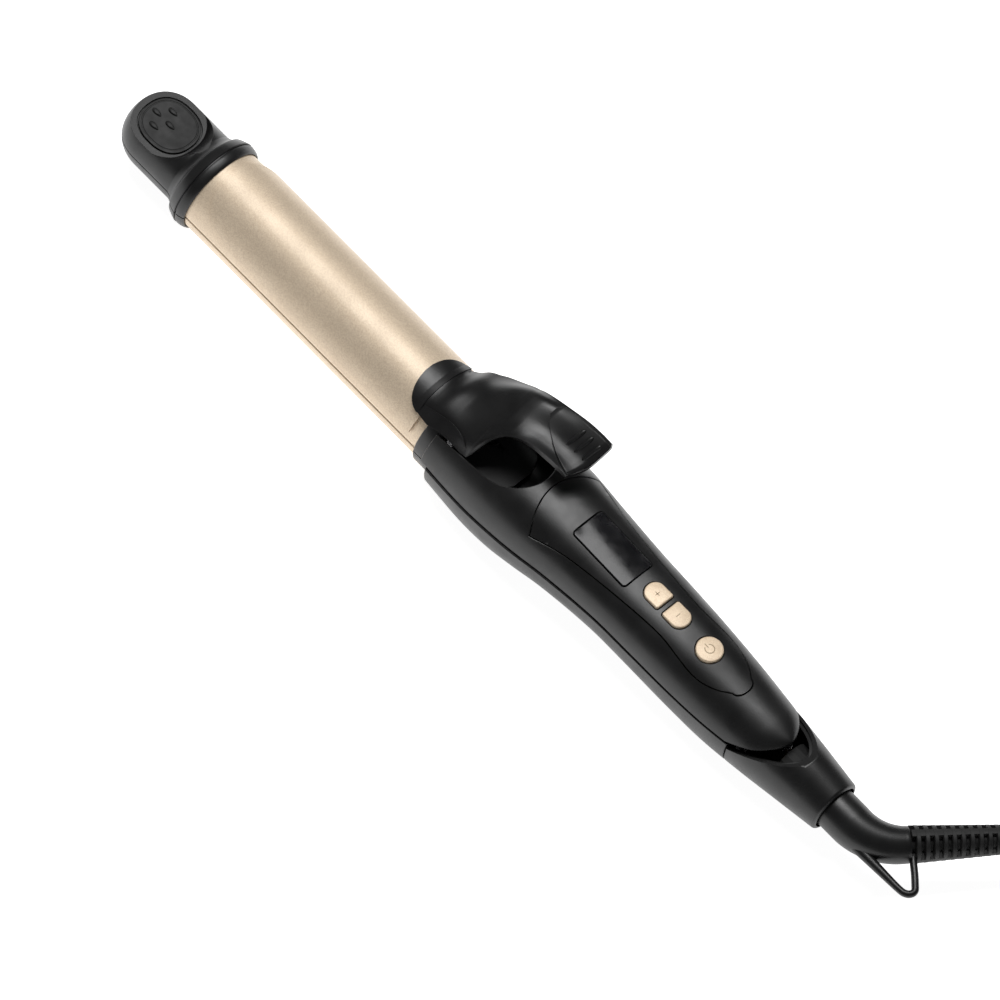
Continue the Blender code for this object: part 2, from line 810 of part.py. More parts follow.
def tip_half(name, sign):
    """Half of the cool tip, hollow towards the barrel."""
    half = turned(name, tip_profile(), satin_black(name), 32)
    low, high = (SPLIT, 40.0) if sign > 0 else (-40.0, -SPLIT)
    keep = block(name + "_keep", (-10.0, 60.0), (-30.0, 30.0), (low, high), guide_material())
    cut(half, keep, "INTERSECT")
    return half


def flat_outline(level_grow):
    """Plan of the finger flat: round towards the barrel, open at the tip's end."""
    outline = [(-6.0, 15.0 + level_grow), (8.0, 15.0 + level_grow)]
    for i in range(9):
        a = math.radians(90 * i / 8)
        outline.append((14.0 + (TIP_FLAT_END - 14.0 + level_grow) * math.sin(a) ** 0.9,
                        (12.6 + level_grow) * math.cos(a) ** 0.7))
    mirrored = [(s, -y) for s, y in reversed(outline[:-1])]
    return outline + mirrored


def cool_tip():
    upper = tip_half("upper_tip", 1)
    rings = []
    for level, grow in ((TIP_FLAT, 0.0), (10.0, 1.2), (TIP_FLAT + 8.0, 6.0)):
        rings.append([place(s, y, level) for s, y in flat_outline(grow)])
    cut(upper, solid_loft("flat_cutter", rings, guide_material()))
    recess = superellipse(PAD_CENTRE, PAD_HALF[0] + GAP, PAD_HALF[1] + GAP)
    cut(upper, prism("pad_cutter", recess, TIP_FLAT - 0.9, 20.0, guide_material()))
    tip_half("lower_tip", -1)
    tip_pad()


def superellipse(centre, half_length, half_width, power=3.0, count=28):
    outline = []
    for i in range(count):
        a = 2 * math.pi * i / count
        outline.append((centre + half_length * math.copysign(abs(math.cos(a)) ** (2 / power), math.cos(a)),
                        half_width * math.copysign(abs(math.sin(a)) ** (2 / power), math.sin(a))))
    return outline


def tip_pad():
    """Soft finger pad with four leaf-shaped bumps."""
    outline = superellipse(PAD_CENTRE, *PAD_HALF)
    pad = prism("tip_pad", outline, TIP_FLAT - 0.6, TIP_FLAT + 0.25, rubber_black("tip_pad"))
    for index, (s, y) in enumerate(((11.5, -4.2), (8.2, 0.0), (14.6, 0.0), (11.3, 4.2))):
        bm = bmesh.new()
        spot = place(s, y, TIP_FLAT + 0.1)
        size = Matrix.Diagonal((1.9 * MM, 0.95 * MM, 0.65 * MM, 1.0))
        bmesh.ops.create_icosphere(bm, subdivisions=1, radius=1.0, matrix=Matrix.Translation(spot) @ size)
        cut(pad, finish("bump_%d" % index, bm, guide_material()), "UNION")


def clamp_plate():
    """Curved clamp sheet with a rounded end at the tip."""
    stations = []
    fronts = spread(0.0, 1.0, 7)
    places = [PLATE_START + 22.0 * (1 - math.cos(f * math.pi / 2)) for f in fronts] + [PLATE_END]
    for k, s in enumerate(places):
        share = min((s - PLATE_START) / 22.0, 1.0)
        reach = PLATE_HALF_ANGLE * max(1 - (1 - share) ** 2.6, 0.0) ** 0.42
        reach = max(reach, 14.0)
        angles = spread(reach, -reach, 17)
        stations.append((arc_points(s, PLATE_OUTER, angles), arc_points(s, PLATE_INNER, angles)))
    return shell_loft("clamp_plate", stations, champagne("clamp_plate"), False)


# Lever

def guide_curve(points, share):
    """Smooth curve through five guide points, read at a share of its way."""
    table = [(float(i), *point) for i, point in enumerate(points)]
    return along(table, share * (len(points) - 1))


def lever_points(s, count, share_range=(0.0, 1.0)):
    """Outer curve of the lever's section as (y, z), from the near to the far edge."""
    if s < LEVER[0][0]:
        share = (s - LEVER_NOSE) / (LEVER[0][0] - LEVER_NOSE)
        reach = NOSE_HALF_ANGLE * max(1 - (1 - share) ** 2.2, 0.02) ** 0.5
        radius = 17.9 + 0.2 * share
        return [(radius * math.sin(math.radians(a)), radius * math.cos(math.radians(a)))
                for a in spread(reach, -reach, count)]
    flat_table = [(row[0], *[value for point in row[1:] for value in point]) for row in LEVER]
    values = along(flat_table, s)
    points = [(values[2 * i], values[2 * i + 1]) for i in range(5)]
    return [tuple(guide_curve(points, share)) for share in spread(*share_range, count)]


def offset_inward(points, depth):
    """Curve moved towards its inside by a depth."""
    moved = []
    last = len(points) - 1
    for i, (y, z) in enumerate(points):
        before = points[max(i - 1, 0)]
        after = points[min(i + 1, last)]
        dy, dz = after[0] - before[0], after[1] - before[1]
        length = math.hypot(dy, dz)
        moved.append((y - depth * dz / length, z + depth * dy / length))
    return moved


def lever_depth(s):
    """Wall thickness: thin over the clamp sheet, then full."""
    share = min(max((s - 146.0) / 7.0, 0.0), 1.0)
    return 0.55 + (LEVER_WALL - 0.55) * share


def paddle_row(s, count, share_range=(0.0, 1.0), lift=0.0):
    """Row of (s, y, z) points over the lever. Past PADDLE_REAR the rows bend to its rear edge."""
    way = max(s - PADDLE_REAR, 0.0) / PADDLE_TAIL
    points = offset_inward(lever_points(min(s, PADDLE_REAR), count, share_range), -lift)
    row = []
    for share, (y, z) in zip(spread(*share_range, count), points):
        rear = along(REAR_EDGE, share)[0]
        at_s = s if way == 0 else PADDLE_REAR + way * (rear - PADDLE_REAR)
        row.append((at_s, y, z - 0.3 * way))
    return row


def share_at(s, y):
    """Where on the lever's section, from its near to its far edge, a side position lies."""
    points = lever_points(min(s, PADDLE_REAR), 101)
    nearest = min(range(101), key=lambda i: abs(points[i][0] - y))
    return nearest / 100


def clamp_lever():
    """Shroud over the barrel's root that rises into an offset thumb paddle."""
    stations = []
    rows = [LEVER_NOSE, 138.7, 140.0, 142.2, 146.5, 149.5, 152.0, 154.0, 156.0, 158.0, 161.0, 164.0,
            167.0, 169.0, 170.5, 172.0, 174.0, 176.0, 179.5, 183.0, 187.5, 192.0, 196.0, 199.0, 202.0]
    for s in rows:
        outer = [place(*point) for point in paddle_row(s, 13)]
        inner = [place(*point) for point in paddle_row(s, 13, lift=-lever_depth(s))]
        stations.append((outer, inner))
    lever = shell_loft("clamp_lever", stations, satin_black("clamp_lever"), False)
    for side in (1, -1):
        outline = [(LEVER_PIN[0] - 2.3, side * 6.4), (LEVER_PIN[0] + 3.4, side * 6.4),
                   (LEVER_PIN[0] + 3.4, side * 8.4), (LEVER_PIN[0] - 2.3, side * 8.4)]
        ear = prism("lever_ear_%d" % (side + 1), outline, LEVER_PIN[1] - 2.2, ear_top, guide_material())
        cut(lever, ear, "UNION")
    cut(lever, rod("ear_bore", (LEVER_PIN[0], -9, LEVER_PIN[1]), (LEVER_PIN[0], 9, LEVER_PIN[1]),
                   LEVER_PIN_RADIUS + 0.15, guide_material(), 24))


def ear_top(s, y):
    """Level inside the lever's wall over a plan point."""
    points = lever_points(s, 41)
    nearest = min(points, key=lambda point: abs(point[0] - y))
    return nearest[1] - 1.0


def paddle_spot(s, y):
    """Middle of a raised bar's end, on the paddle's face."""
    share = share_at(s, y)
    return paddle_row(s, 3, (share - 0.02, share + 0.02), BAR_LIFT)[1]


def thumb_pad():
    """Leaf-shaped grip on the paddle, with three raised bars."""
    rows = []
    for s in spread(GRIP[0][0], PAD_REAR, 12):
        near, far = along(GRIP, s)
        span = (share_at(s, near), share_at(s, far))
        top = [place(*point) for point in paddle_row(s, 7, span, PAD_FACE)]
        low = [place(*point) for point in paddle_row(s, 7, span, PAD_UNDERSIDE)]
        rows.append((top, low))
    pad = shell_loft("thumb_pad", rows, satin_black("thumb_pad"), False)
    for index, (near_s, far_s) in enumerate(BARS):
        start = paddle_spot(near_s, BAR_SPAN[0])
        end = paddle_spot(far_s, BAR_SPAN[1])
        bar = rod("bar_%d" % index, start, end, BAR_RADIUS, guide_material(), 8)
        cut(pad, bar, "UNION")


def lever_hardware():
    rod("lever_pin", (LEVER_PIN[0], -11.4, LEVER_PIN[1]), (LEVER_PIN[0], 11.4, LEVER_PIN[1]),
        LEVER_PIN_RADIUS, steel("lever_pin"), 16)
    lever_spring()


def lever_spring():
    """Torsion spring round the pin, with one leg on the tray and one under the lever."""
    mean = 2.5
    turns = 4
    route = [(LEVER_PIN[0] + 12.0, -2.6, 9.0), (LEVER_PIN[0] + 6.0, -2.6, 9.0)]
    for i in range(turns * 10 + 1):
        a = math.radians(-90 + 36 * i)
        route.append((LEVER_PIN[0] + mean * math.cos(a), -2.6 + 5.2 * i / (turns * 10),
                      LEVER_PIN[1] + mean * math.sin(a)))
    route.append((LEVER_PIN[0] + 5.0, 2.6, 11.0))
    route.append((LEVER_PIN[0] + 9.0, 2.6, 14.4))
    route.append((LEVER_PIN[0] + 12.5, 2.6, 19.0))
    wire("lever_spring", route, 0.45, steel("lever_spring"), 1)


def wire(name, route, radius, made, resolution):
    """Round wire or cord along a route of (s, y, z) points."""
    data = bpy.data.curves.new(name, "CURVE")
    data.dimensions = "3D"
    data.bevel_depth = radius * MM
    data.bevel_resolution = resolution
    data.use_fill_caps = True
    spline = data.splines.new("POLY")
    spline.points.add(len(route) - 1)
    for point, spot in zip(spline.points, route):
        point.co = (*place(*spot), 1.0)
    data.materials.append(made)
    thing = bpy.data.objects.new(name, data)
    bpy.context.scene.collection.objects.link(thing)
    return thing


# Rear hinge and swivel

def hinge_parts():
    s, z = ARM_PIN
    outline = [(s - 3.4, 8.5), (s + 3.4, 8.5), (s + 3.6, 5.2), (s + 10.6, 5.2)]
    outline = outline + [(at_s, -y) for at_s, y in reversed(outline)]
    bracket = prism("hinge_bracket", outline, -6.4, -4.9, steel("hinge_bracket"))
    for side in (1, -1):
        ear = block("bracket_ear_%d" % (side + 1), (s - 3.4, s + 3.4), (side * 7.1, side * 8.5),
                    (-6.0, z + 3.0), guide_material())
        cut(bracket, ear, "UNION")
    cut(bracket, rod("bracket_bore", (s, -12, z), (s, 12, z), ARM_PIN_RADIUS + 0.12, guide_material(), 24))
    rod("arm_hinge_pin", (s, -9.6, z), (s, 9.6, z), ARM_PIN_RADIUS, steel("arm_hinge_pin"), 16)
    low, high = (s + 9.6, 0.2, -4.6), (s + 9.6, 0.2, 7.4)
    stop = rod("arm_stop_screw", low, high, 1.0, steel("arm_stop_screw"), 12)
    head = rod("stop_head", (s + 9.6, 0.2, 7.0), (s + 9.6, 0.2, 8.4), 1.7, guide_material(), 12)
    cut(stop, head, "UNION")
    turned("swivel_retainer", [(322.4, 8.3), (325.0, 8.3), (325.0, 7.0), (322.4, 7.0)],
           steel("swivel_retainer"), 24)
    turned("contact_block", [(311.6, 7.4), (316.6, 7.4), (316.6, 5.6), (311.6, 5.6)],
           material("contact_block", (0.75, 0.73, 0.68), 0.6), 20)
    turned("swivel_contact", [(311.0, 0.0), (311.0, 5.0), (316.9, 5.0), (316.9, 0.0)],
           brass("swivel_contact"), 20)


def bend_point(distance, offset=0.0):
    """Plan point (s, y) on the swivel's bent centreline, measured past BEND_START."""
    arc = BEND_RADIUS * BEND
    turn = min(max(distance, 0.0) / BEND_RADIUS, BEND)
    s = BEND_START + BEND_RADIUS * math.sin(turn) + min(distance, 0.0)
    y = -BEND_RADIUS * (1 - math.cos(turn))
    beyond = max(distance - arc, 0.0)
    s += beyond * math.cos(BEND)
    y -= beyond * math.sin(BEND)
    return s + offset * math.sin(turn), y + offset * math.cos(turn)


def elbow():
    """Swivelling elbow with a captured neck and a moulded hang loop."""
    arc = BEND_RADIUS * BEND
    spots = [(317.2, 6.6), (318.0, 7.4), (320.6, 7.4), (321.0, 6.6), (332.0, 6.6), (332.4, ELBOW_RADII[0]),
             (BEND_START, ELBOW_RADII[0])]
    points = [(s, 0.0, 0.0) for s, radius in spots]
    radii = [radius for s, radius in spots]
    for i in range(1, 8):
        distance = arc * i / 7
        points.append((*bend_point(distance), 0.0))
        radii.append(ELBOW_RADII[0] + (ELBOW_RADII[1] - ELBOW_RADII[0]) * i / 7)
    points.append((*bend_point(arc + ELBOW_TAIL), 0.0))
    radii.append(ELBOW_RADII[1])
    body = sweep("swivel_elbow", points, radii, satin_black("swivel_elbow"), 20)
    route = [(*spot, 0.0) for spot in LOOP_ROUTE]
    loop = sweep("loop_guide", route, [LOOP_WIRE] * len(route), guide_material(), 8)
    cut(body, loop, "UNION")


def relief_start():
    return BEND_RADIUS * BEND + ELBOW_TAIL + GAP


def strain_relief():
    """Tapered ribbed boot round the cord."""
    begin = relief_start()
    points = []
    radii = []
    groove = ((0.0, 0.0), (0.05, RIB_GROOVE), (RIB_GAP, RIB_GROOVE), (RIB_GAP + 0.05, 0.0))
    for i in range(RELIEF_RIBS):
        base = i * RELIEF_PITCH
        outer = RELIEF_RADII[0] + (RELIEF_RADII[1] - RELIEF_RADII[0]) * base / RELIEF_LENGTH
        for shift, depth in groove if i else ((0.0, RIB_GROOVE),) + groove[2:]:
            points.append((*bend_point(begin + base + shift), 0.0))
            radii.append(outer - depth)
    points.append((*bend_point(begin + RELIEF_LENGTH), 0.0))
    radii.append(RELIEF_RADII[1])
    return sweep("strain_relief", points, radii, rubber_black("strain_relief"), 8)


# Cord

def smooth_route(points, count):
    """Even points on a smooth curve through hand-chosen route points."""
    table = [(float(i), *p) for i, p in enumerate(points)]
    return [tuple(along(table, t)) for t in spread(0.0, len(points) - 1.0, count)]


def coil_centre():
    """Plan point (s, y): the cord meets the coil's outer turn along the relief's line."""
    begin = relief_start() + RELIEF_LENGTH + GAP
    s, y = bend_point(begin + CORD_DROP)
    return s + COIL_MEAN * math.sin(BEND), y + COIL_MEAN * math.cos(BEND)


def cord_parts():
    begin = relief_start() + RELIEF_LENGTH + GAP
    ground = CORD_RADIUS + 0.3 - AXIS_HEIGHT
    drops = ((0.0, 0.0), (5.0, -0.25), (11.0, -1.9), (17.5, -5.3),
             (24.5, -9.5), (30.5, -12.6), (36.0, -14.0))
    route = [(*bend_point(begin + way), height) for way, height in drops]
    route = [(s, y, max(z, ground)) for s, y, z in route]
    route = trim_before_coil(smooth_route(route, 25))
    wire("cord_lead", route, CORD_RADIUS, rubber_black("cord_lead"), 2)
    ring_solid("cord_coil")
    plug_parts()


def trim_before_coil(route):
    """Drop the points that would run into the coil's solid."""
    centre = coil_centre()
    limit = COIL_OUTER + CORD_RADIUS + GAP
    kept = [p for p in route if math.hypot(p[0] - centre[0], p[1] - centre[1]) > limit]
    return kept


def ring_solid(name):
    centre = coil_centre()
    bm = bmesh.new()
    low = 0.3
    section = [(COIL_INNER, low), (COIL_OUTER, low), (COIL_OUTER, COIL_TOP), (COIL_INNER, COIL_TOP)]
    segments = 40
    rows = []
    for radius, height in section:
        row = []
        for i in range(segments):
            a = 2 * math.pi * i / segments
            spot = place(centre[0] + radius * math.cos(a), centre[1] + radius * math.sin(a), 0)
            spot.z = height * MM
            row.append(bm.verts.new(spot))
        rows.append(row)
    for here, there in zip(rows, rows[1:] + rows[:1]):
        for i in range(segments):
            j = (i + 1) % segments
            bm.faces.new((here[i], here[j], there[j], there[i]))
    return finish(name, bm, rubber_black(name))


def plug_parts():
    """Two-blade plug lying on the coil, and the cord's last stretch."""
    centre = coil_centre()
    level = COIL_TOP + GAP - AXIS_HEIGHT
    axis_z = level + 7.0
    y = centre[1] - 33.0
    begin = centre[0] - 8.0
    tail = [(begin - 26.0, y + 7.0, level + 3.2), (begin - 18.0, y + 3.0, level + 3.8),
            (begin - 10.0, y + 0.5, level + 6.2), (begin - 4.0, y, axis_z), (begin - GAP, y, axis_z)]
    wire("cord_tail", smooth_route(tail, 9), CORD_RADIUS, rubber_black("cord_tail"), 2)
    rings = []
    for way, half_y, half_z in ((0.0, 3.6, 3.6), (8.0, 4.6, 4.4), (11.0, 8.0, 5.6), (15.0, 9.6, 6.4),
                                (PLUG_LENGTH - 6.0, 9.8, 6.6), (PLUG_LENGTH - 1.0, 9.4, 6.2),
                                (PLUG_LENGTH, 8.6, 5.6)):
        ring = []
        for i in range(16):
            a = 2 * math.pi * i / 16
            ring.append(place(begin + way,
                              y + half_y * math.copysign(abs(math.cos(a)) ** 0.6, math.cos(a)),
                              axis_z + half_z * math.copysign(abs(math.sin(a)) ** 0.6, math.sin(a))))
        rings.append(ring)
    solid_loft("plug_body", rings, rubber_black("plug_body"))
    face = begin + PLUG_LENGTH + GAP
    for name, side in (("plug_blade_live", 1), ("plug_blade_neutral", -1)):
        spot = y + side * 6.35
        heights = (axis_z - 3.1, axis_z + 3.1)
        block(name, (face, face + 16.0), (spot - 0.75, spot + 0.75), heights, steel(name))


def electronics():
    board = [(204.0, 11.0), (232.0, 10.0), (262.0, 10.0)]
    board = board + [(s, -y) for s, y in reversed(board)]
    prism("power_board", board, -4.2, -2.7, board_green("power_board"))
    made = material("triac_block", (0.05, 0.05, 0.05), 0.5)
    block("triac_block", (212.0, 224.0), (-6.0, 6.0), (-2.4, 1.6), made)
    rod("temperature_sensor", (96.0, 0.0, 5.2), (104.0, 0.0, 5.2), 1.3, ceramic("temperature_sensor"), 12)
    rod("thermal_fuse", (92.0, 0.0, -5.2), (108.0, 0.0, -5.2), 1.4, steel("thermal_fuse"), 12)


def build():
    for thing in list(bpy.data.objects):
        bpy.data.objects.remove(thing)
    cool_tip()
    half_barrel("upper_half_barrel", 1)
    half_barrel("lower_half_barrel", -1)
    heater("upper_heater", 1)
    heater("lower_heater", -1)
    base_ring("upper_base_ring", 1, UPPER_START - GAP)
    base_ring("lower_base_ring", -1, LOWER_START - GAP)
    clamp_plate()
    clamp_lever()
    thumb_pad()
    lever_hardware()
    upper_shell()
    lower_shell()
    tail_cone()
    arm_chassis()
    lower_cover()
    lever_well()
    console_panel()
    display_parts()
    keys_and_switches()
    electronics()
    hinge_parts()
    elbow()
    strain_relief()
    cord_parts()


build()
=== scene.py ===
"""Looks of the two-arm hair iron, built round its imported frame.

Stations are millimetres along the wand from the cool tip's end (s), sideways (y) and
above the wand's axis (z). place() turns them into metres in the frame.
"""
import math

import bmesh
import bpy
from mathutils import Matrix, Vector


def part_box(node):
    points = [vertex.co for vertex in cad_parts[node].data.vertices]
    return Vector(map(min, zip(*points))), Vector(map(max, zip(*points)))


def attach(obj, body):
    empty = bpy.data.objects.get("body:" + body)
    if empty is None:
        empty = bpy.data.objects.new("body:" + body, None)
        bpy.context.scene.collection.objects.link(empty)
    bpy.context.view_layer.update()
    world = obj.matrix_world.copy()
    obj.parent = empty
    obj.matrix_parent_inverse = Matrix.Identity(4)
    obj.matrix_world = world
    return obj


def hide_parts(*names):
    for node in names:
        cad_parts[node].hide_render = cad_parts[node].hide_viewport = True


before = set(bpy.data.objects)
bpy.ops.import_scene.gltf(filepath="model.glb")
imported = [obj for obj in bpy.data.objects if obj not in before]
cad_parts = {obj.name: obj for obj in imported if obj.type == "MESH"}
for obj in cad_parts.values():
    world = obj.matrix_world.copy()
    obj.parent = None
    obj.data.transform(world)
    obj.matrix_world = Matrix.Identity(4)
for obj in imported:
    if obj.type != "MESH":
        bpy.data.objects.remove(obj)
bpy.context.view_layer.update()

MM = 0.001
TIP_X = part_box("lower_tip")[1].x
AXIS_Z = sum(corner.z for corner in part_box("swivel_retainer")) / 2
GAP = 0.3
SPLIT = 0.25

# Camera
CAMERA_TARGET = (-0.00894, 0.00728, 0.0177)
CAMERA_DISTANCE = 4.0
CAMERA_AZIMUTH = math.radians(-32.83)
CAMERA_ELEVATION = math.radians(60.61)
CAMERA_ROLL = math.radians(15.81)
CAMERA_LENS = 443.8
FLAG_HEIGHT = 0.8
# Flag outlines over the lens: share across from the near side, share along from the front.
FLAG_OUTLINES = (
    ((0.12, -0.4), (0.14, 0.05), (0.20, 0.22), (0.30, 0.34), (0.40, 0.37), (0.50, 0.33),
     (0.57, 0.20), (0.60, 0.05), (0.61, -0.4)),
    ((0.79, -0.4), (0.80, 0.0), (0.63, 1.0), (0.60, 1.4), (1.5, 1.4), (1.5, -0.4)),
)

# Cool tip and its collar
TIP_RADIUS = 14.0
TIP_DOME = 13.0
COLLAR_RADIUS = 17.6
COLLAR_START = 29.9
COLLAR_END = 40.6
TIP_FLAT = 7.5
TIP_FLAT_END = 25.8
PAD_CENTRE = 14.5
PAD_HALF = (10.3, 9.4)
LEAF_HALF = (2.05, 0.9)
LEAF_SPOTS = ((11.5, -4.2), (8.2, 0.0), (14.6, 0.0), (11.3, 4.2))

# Barrel and clamp
BARREL_RADIUS = 15.9
BARREL_START = 36.7
BARREL_END = 155.4
PLATE_INNER = 16.25
PLATE_OUTER = 17.0
PLATE_START = 43.8
PLATE_END = 147.4
PLATE_HALF_ANGLE = 71.0
PLATE_FRONT = 22.0
RING_START = 151.4
RING_RADIUS = 17.0
TONGUE_HALF_ANGLE = 46
TONGUE_END = 158.2

# Handle shells: station, half width, top, bottom, widest level, roundness
WALL = 2.0
HANDLE = [
    (150.0, 17.9, 18.1, -17.9, 0.0, 2.0),
    (164.0, 19.2, 19.4, -19.2, 0.5, 2.05),
    (178.0, 20.1, 20.6, -19.8, 1.0, 2.15),
    (190.0, 20.2, 20.9, -17.6, 1.6, 2.25),
    (200.0, 19.7, 20.7, -13.6, 2.2, 2.35),
    (214.0, 18.1, 20.0, -9.9, 3.0, 2.45),
    (235.0, 16.4, 18.8, -8.9, 3.4, 2.5),
    (252.0, 15.9, 18.1, -10.8, 2.8, 2.45),
    (269.0, 15.4, 17.1, -13.5, 1.6, 2.35),
    (286.0, 14.6, 15.4, -15.0, 0.2, 2.25),
    (302.0, 13.2, 13.9, -14.0, -0.4, 2.1),
    (318.0, 11.5, 12.4, -11.9, -0.2, 2.0),
    (334.0, 9.6, 9.7, -9.5, 0.0, 2.0),
]
SEAM = [
    (150.0, 1.4), (164.0, 1.9), (178.0, 2.6), (190.0, 3.8), (200.0, 4.7), (214.0, 5.6),
    (235.0, 6.0), (252.0, 5.3), (269.0, 4.3), (282.0, 3.9), (294.5, 4.1),
]
UPPER_START = 156.3
LOWER_START = 159.2
LOWER_SWELL = 0.5
SWELL_LENGTH = 90.0
REAR_CUT_START = 294.5
REAR_CUT_SLOPE = 0.4
UPPER_END = 310.9
DOME_START = 302.0
LOWER_END = 295.7
TAIL_START = 296.2
TAIL_END = 333.6
TAIL_CUT = (296.6, 2.1)
TAIL_CUT_SLOPE = 0.43
TAIL_BORE = 7.9
WELL_HALF = 12.9
WELL_STRAIGHT = 178.0
WELL_END = 193.2

# Console
CONSOLE = [
    (203.2, 15.6), (213.8, 13.0), (223.6, 11.4), (240.0, 9.5), (256.7, 8.3), (266.7, 9.0),
    (272.0, 9.3), (277.0, 8.8), (282.5, 6.8), (286.8, 4.0),
]
CONSOLE_END = 289.2
CONSOLE_BOW = 6.4
CONSOLE_THICKNESS = 1.8
LENS_CENTRE = 225.0
LENS_HALF = (12.3, 6.5)
LENS_CORNER = 1.2
LENS_THICKNESS = 1.4
KEY_LENGTH = 8.4
KEY_HALF_WIDTH = 3.85
PLUS_START = 241.6
MINUS_START = 252.0
POWER_CENTRE = 271.0
POWER_RADIUS = 4.65
KEY_PROUD = 0.6
KEY_DEPTH = 2.4

# Lever: station, then five (y, z) guide points from the near edge to the far edge
LEVER_PIN = (161.0, 11.6)
LEVER = [
    (146.5, (12.4, 13.2), (7.0, 16.7), (0.0, 18.1), (-6.9, 16.7), (-12.0, 13.45)),
    (149.0, (12.8, 13.3), (7.1, 17.2), (0.0, 18.8), (-7.1, 17.7), (-12.9, 14.8)),
    (152.0, (13.2, 13.6), (7.4, 18.0), (0.0, 20.0), (-7.6, 19.6), (-14.5, 17.4)),
    (155.6, (12.5, 14.3), (7.6, 18.5), (-0.3, 20.8), (-8.3, 21.2), (-15.6, 19.2)),
    (158.0, (12.4, 14.8), (7.6, 18.9), (-0.5, 21.4), (-9.0, 22.6), (-16.4, 20.4)),
    (164.0, (12.4, 15.0), (8.0, 19.6), (-1.0, 23.8), (-11.3, 26.7), (-17.3, 23.8)),
    (168.5, (12.4, 15.0), (8.3, 20.4), (-1.4, 25.6), (-12.5, 29.4), (-17.6, 27.0)),
    (169.5, (11.9, 16.0), (7.6, 21.4), (-1.7, 26.2), (-12.7, 30.0), (-17.6, 27.5)),
    (172.0, (5.4, 22.6), (2.4, 25.1), (-3.8, 28.2), (-13.0, 31.2), (-17.8, 29.0)),
    (176.0, (1.8, 26.9), (-1.0, 28.4), (-6.2, 30.0), (-13.4, 32.4), (-17.8, 31.0)),
    (183.0, (-0.2, 30.0), (-3.8, 30.0), (-8.0, 30.6), (-14.0, 33.2), (-17.9, 33.4)),
    (192.0, (-0.9, 31.2), (-4.6, 30.4), (-8.7, 31.0), (-14.0, 34.1), (-18.0, 36.0)),
    (198.0, (-1.2, 30.4), (-5.2, 30.2), (-9.6, 31.2), (-14.4, 34.4), (-18.1, 36.4)),
]
LEVER_NOSE = 138.0
REAR_EDGE = [(0.0, 199.3), (0.3, 201.1), (0.5, 202.0), (0.8, 202.7), (0.93, 202.6), (1.0, 201.9)]
PADDLE_REAR = 198.0
PADDLE_TAIL = 4.0
GRIP = [(180.2, -12.0, -15.0), (182.2, -9.8, -16.4), (185.6, -7.4, -16.8), (189.7, -4.9, -16.9),
        (193.4, -3.0, -17.0), (198.0, -1.8, -17.2), (202.0, -1.8, -17.2)]
BARS = ((191.6, 192.9), (195.1, 196.4), (198.8, 199.9))
BAR_SPAN = (-8.6, -15.7)
LEVER_WALL = 1.8
NOSE_HALF_ANGLE = 43.5

# Swivel, elbow, hang loop and strain relief
BEND = math.radians(54.0)
BEND_START = 341.5
BEND_RADIUS = 20.0
ELBOW_RADII = (7.5, 6.15)
ELBOW_TAIL = 1.2
LOOP_WIRE = 1.25
LOOP_ROUTE = [
    (346.0, 4.4), (360.0, 4.4), (368.0, 4.3), (370.5, 3.7), (371.7, 2.3), (371.6, 0.7),
    (370.2, -0.8), (367.4, -3.3), (364.8, -5.4), (362.8, -7.0),
]
RELIEF_LENGTH = 46.0
RELIEF_RADII = (6.3, 4.2)
RELIEF_PITCH = 2.97
RELIEF_RIBS = 15
RELIEF_SLOT = 1.3
RELIEF_SPINES = ((102.0, 12.5), (-8.0, 12.5), (187.0, 45.0))

# Cord
CORD_RADIUS = 3.0
CORD_DROP = 40.0
COIL_MEAN = 39.0
COIL_TURNS = (39.0, 33.0, 27.0, 30.0, 36.0, 39.0, 33.0, 27.0)
COIL_LEVELS = (3.3, 3.3, 3.3, 8.9, 8.9, 14.5, 14.5, 14.5)
TURN_POINTS = 28
PLUG_LENGTH = 34.0
PLUG_OFFSET = (8.0, 33.0)
PLUG_RISE = 7.0
COIL_TOP = 18.6
TIE_CENTRE = (33.0, 8.9)
TIE_HALF = (9.7, 8.8)


def place(s, y, z):
    """A point in metres from a station, a side and a height over the wand's axis."""
    return Vector((TIP_X - s * MM, y * MM, AXIS_Z + z * MM))


def along(table, s):
    """Smooth reading of every column of a station table."""
    last = len(table) - 2
    index = 0
    while index < last and s > table[index + 1][0]:
        index += 1
    before = table[max(index - 1, 0)]
    left = table[index]
    right = table[index + 1]
    after = table[min(index + 2, len(table) - 1)]
    span = right[0] - left[0]
    t = min(max((s - left[0]) / span, 0.0), 1.0)
    values = []
    for column in range(1, len(left)):
        slope_left = (right[column] - before[column]) / (right[0] - before[0]) * span
        slope_right = (after[column] - left[column]) / (after[0] - left[0]) * span
        a = 2 * t ** 3 - 3 * t ** 2 + 1
        b = t ** 3 - 2 * t ** 2 + t
        c = 3 * t ** 2 - 2 * t ** 3
        d = t ** 3 - t ** 2
        values.append(a * left[column] + b * slope_left + c * right[column] + d * slope_right)
    return values


def spread(start, end, count):
    """Evenly spaced numbers, both ends included."""
    return [start + (end - start) * i / (count - 1) for i in range(count)]


# Materials

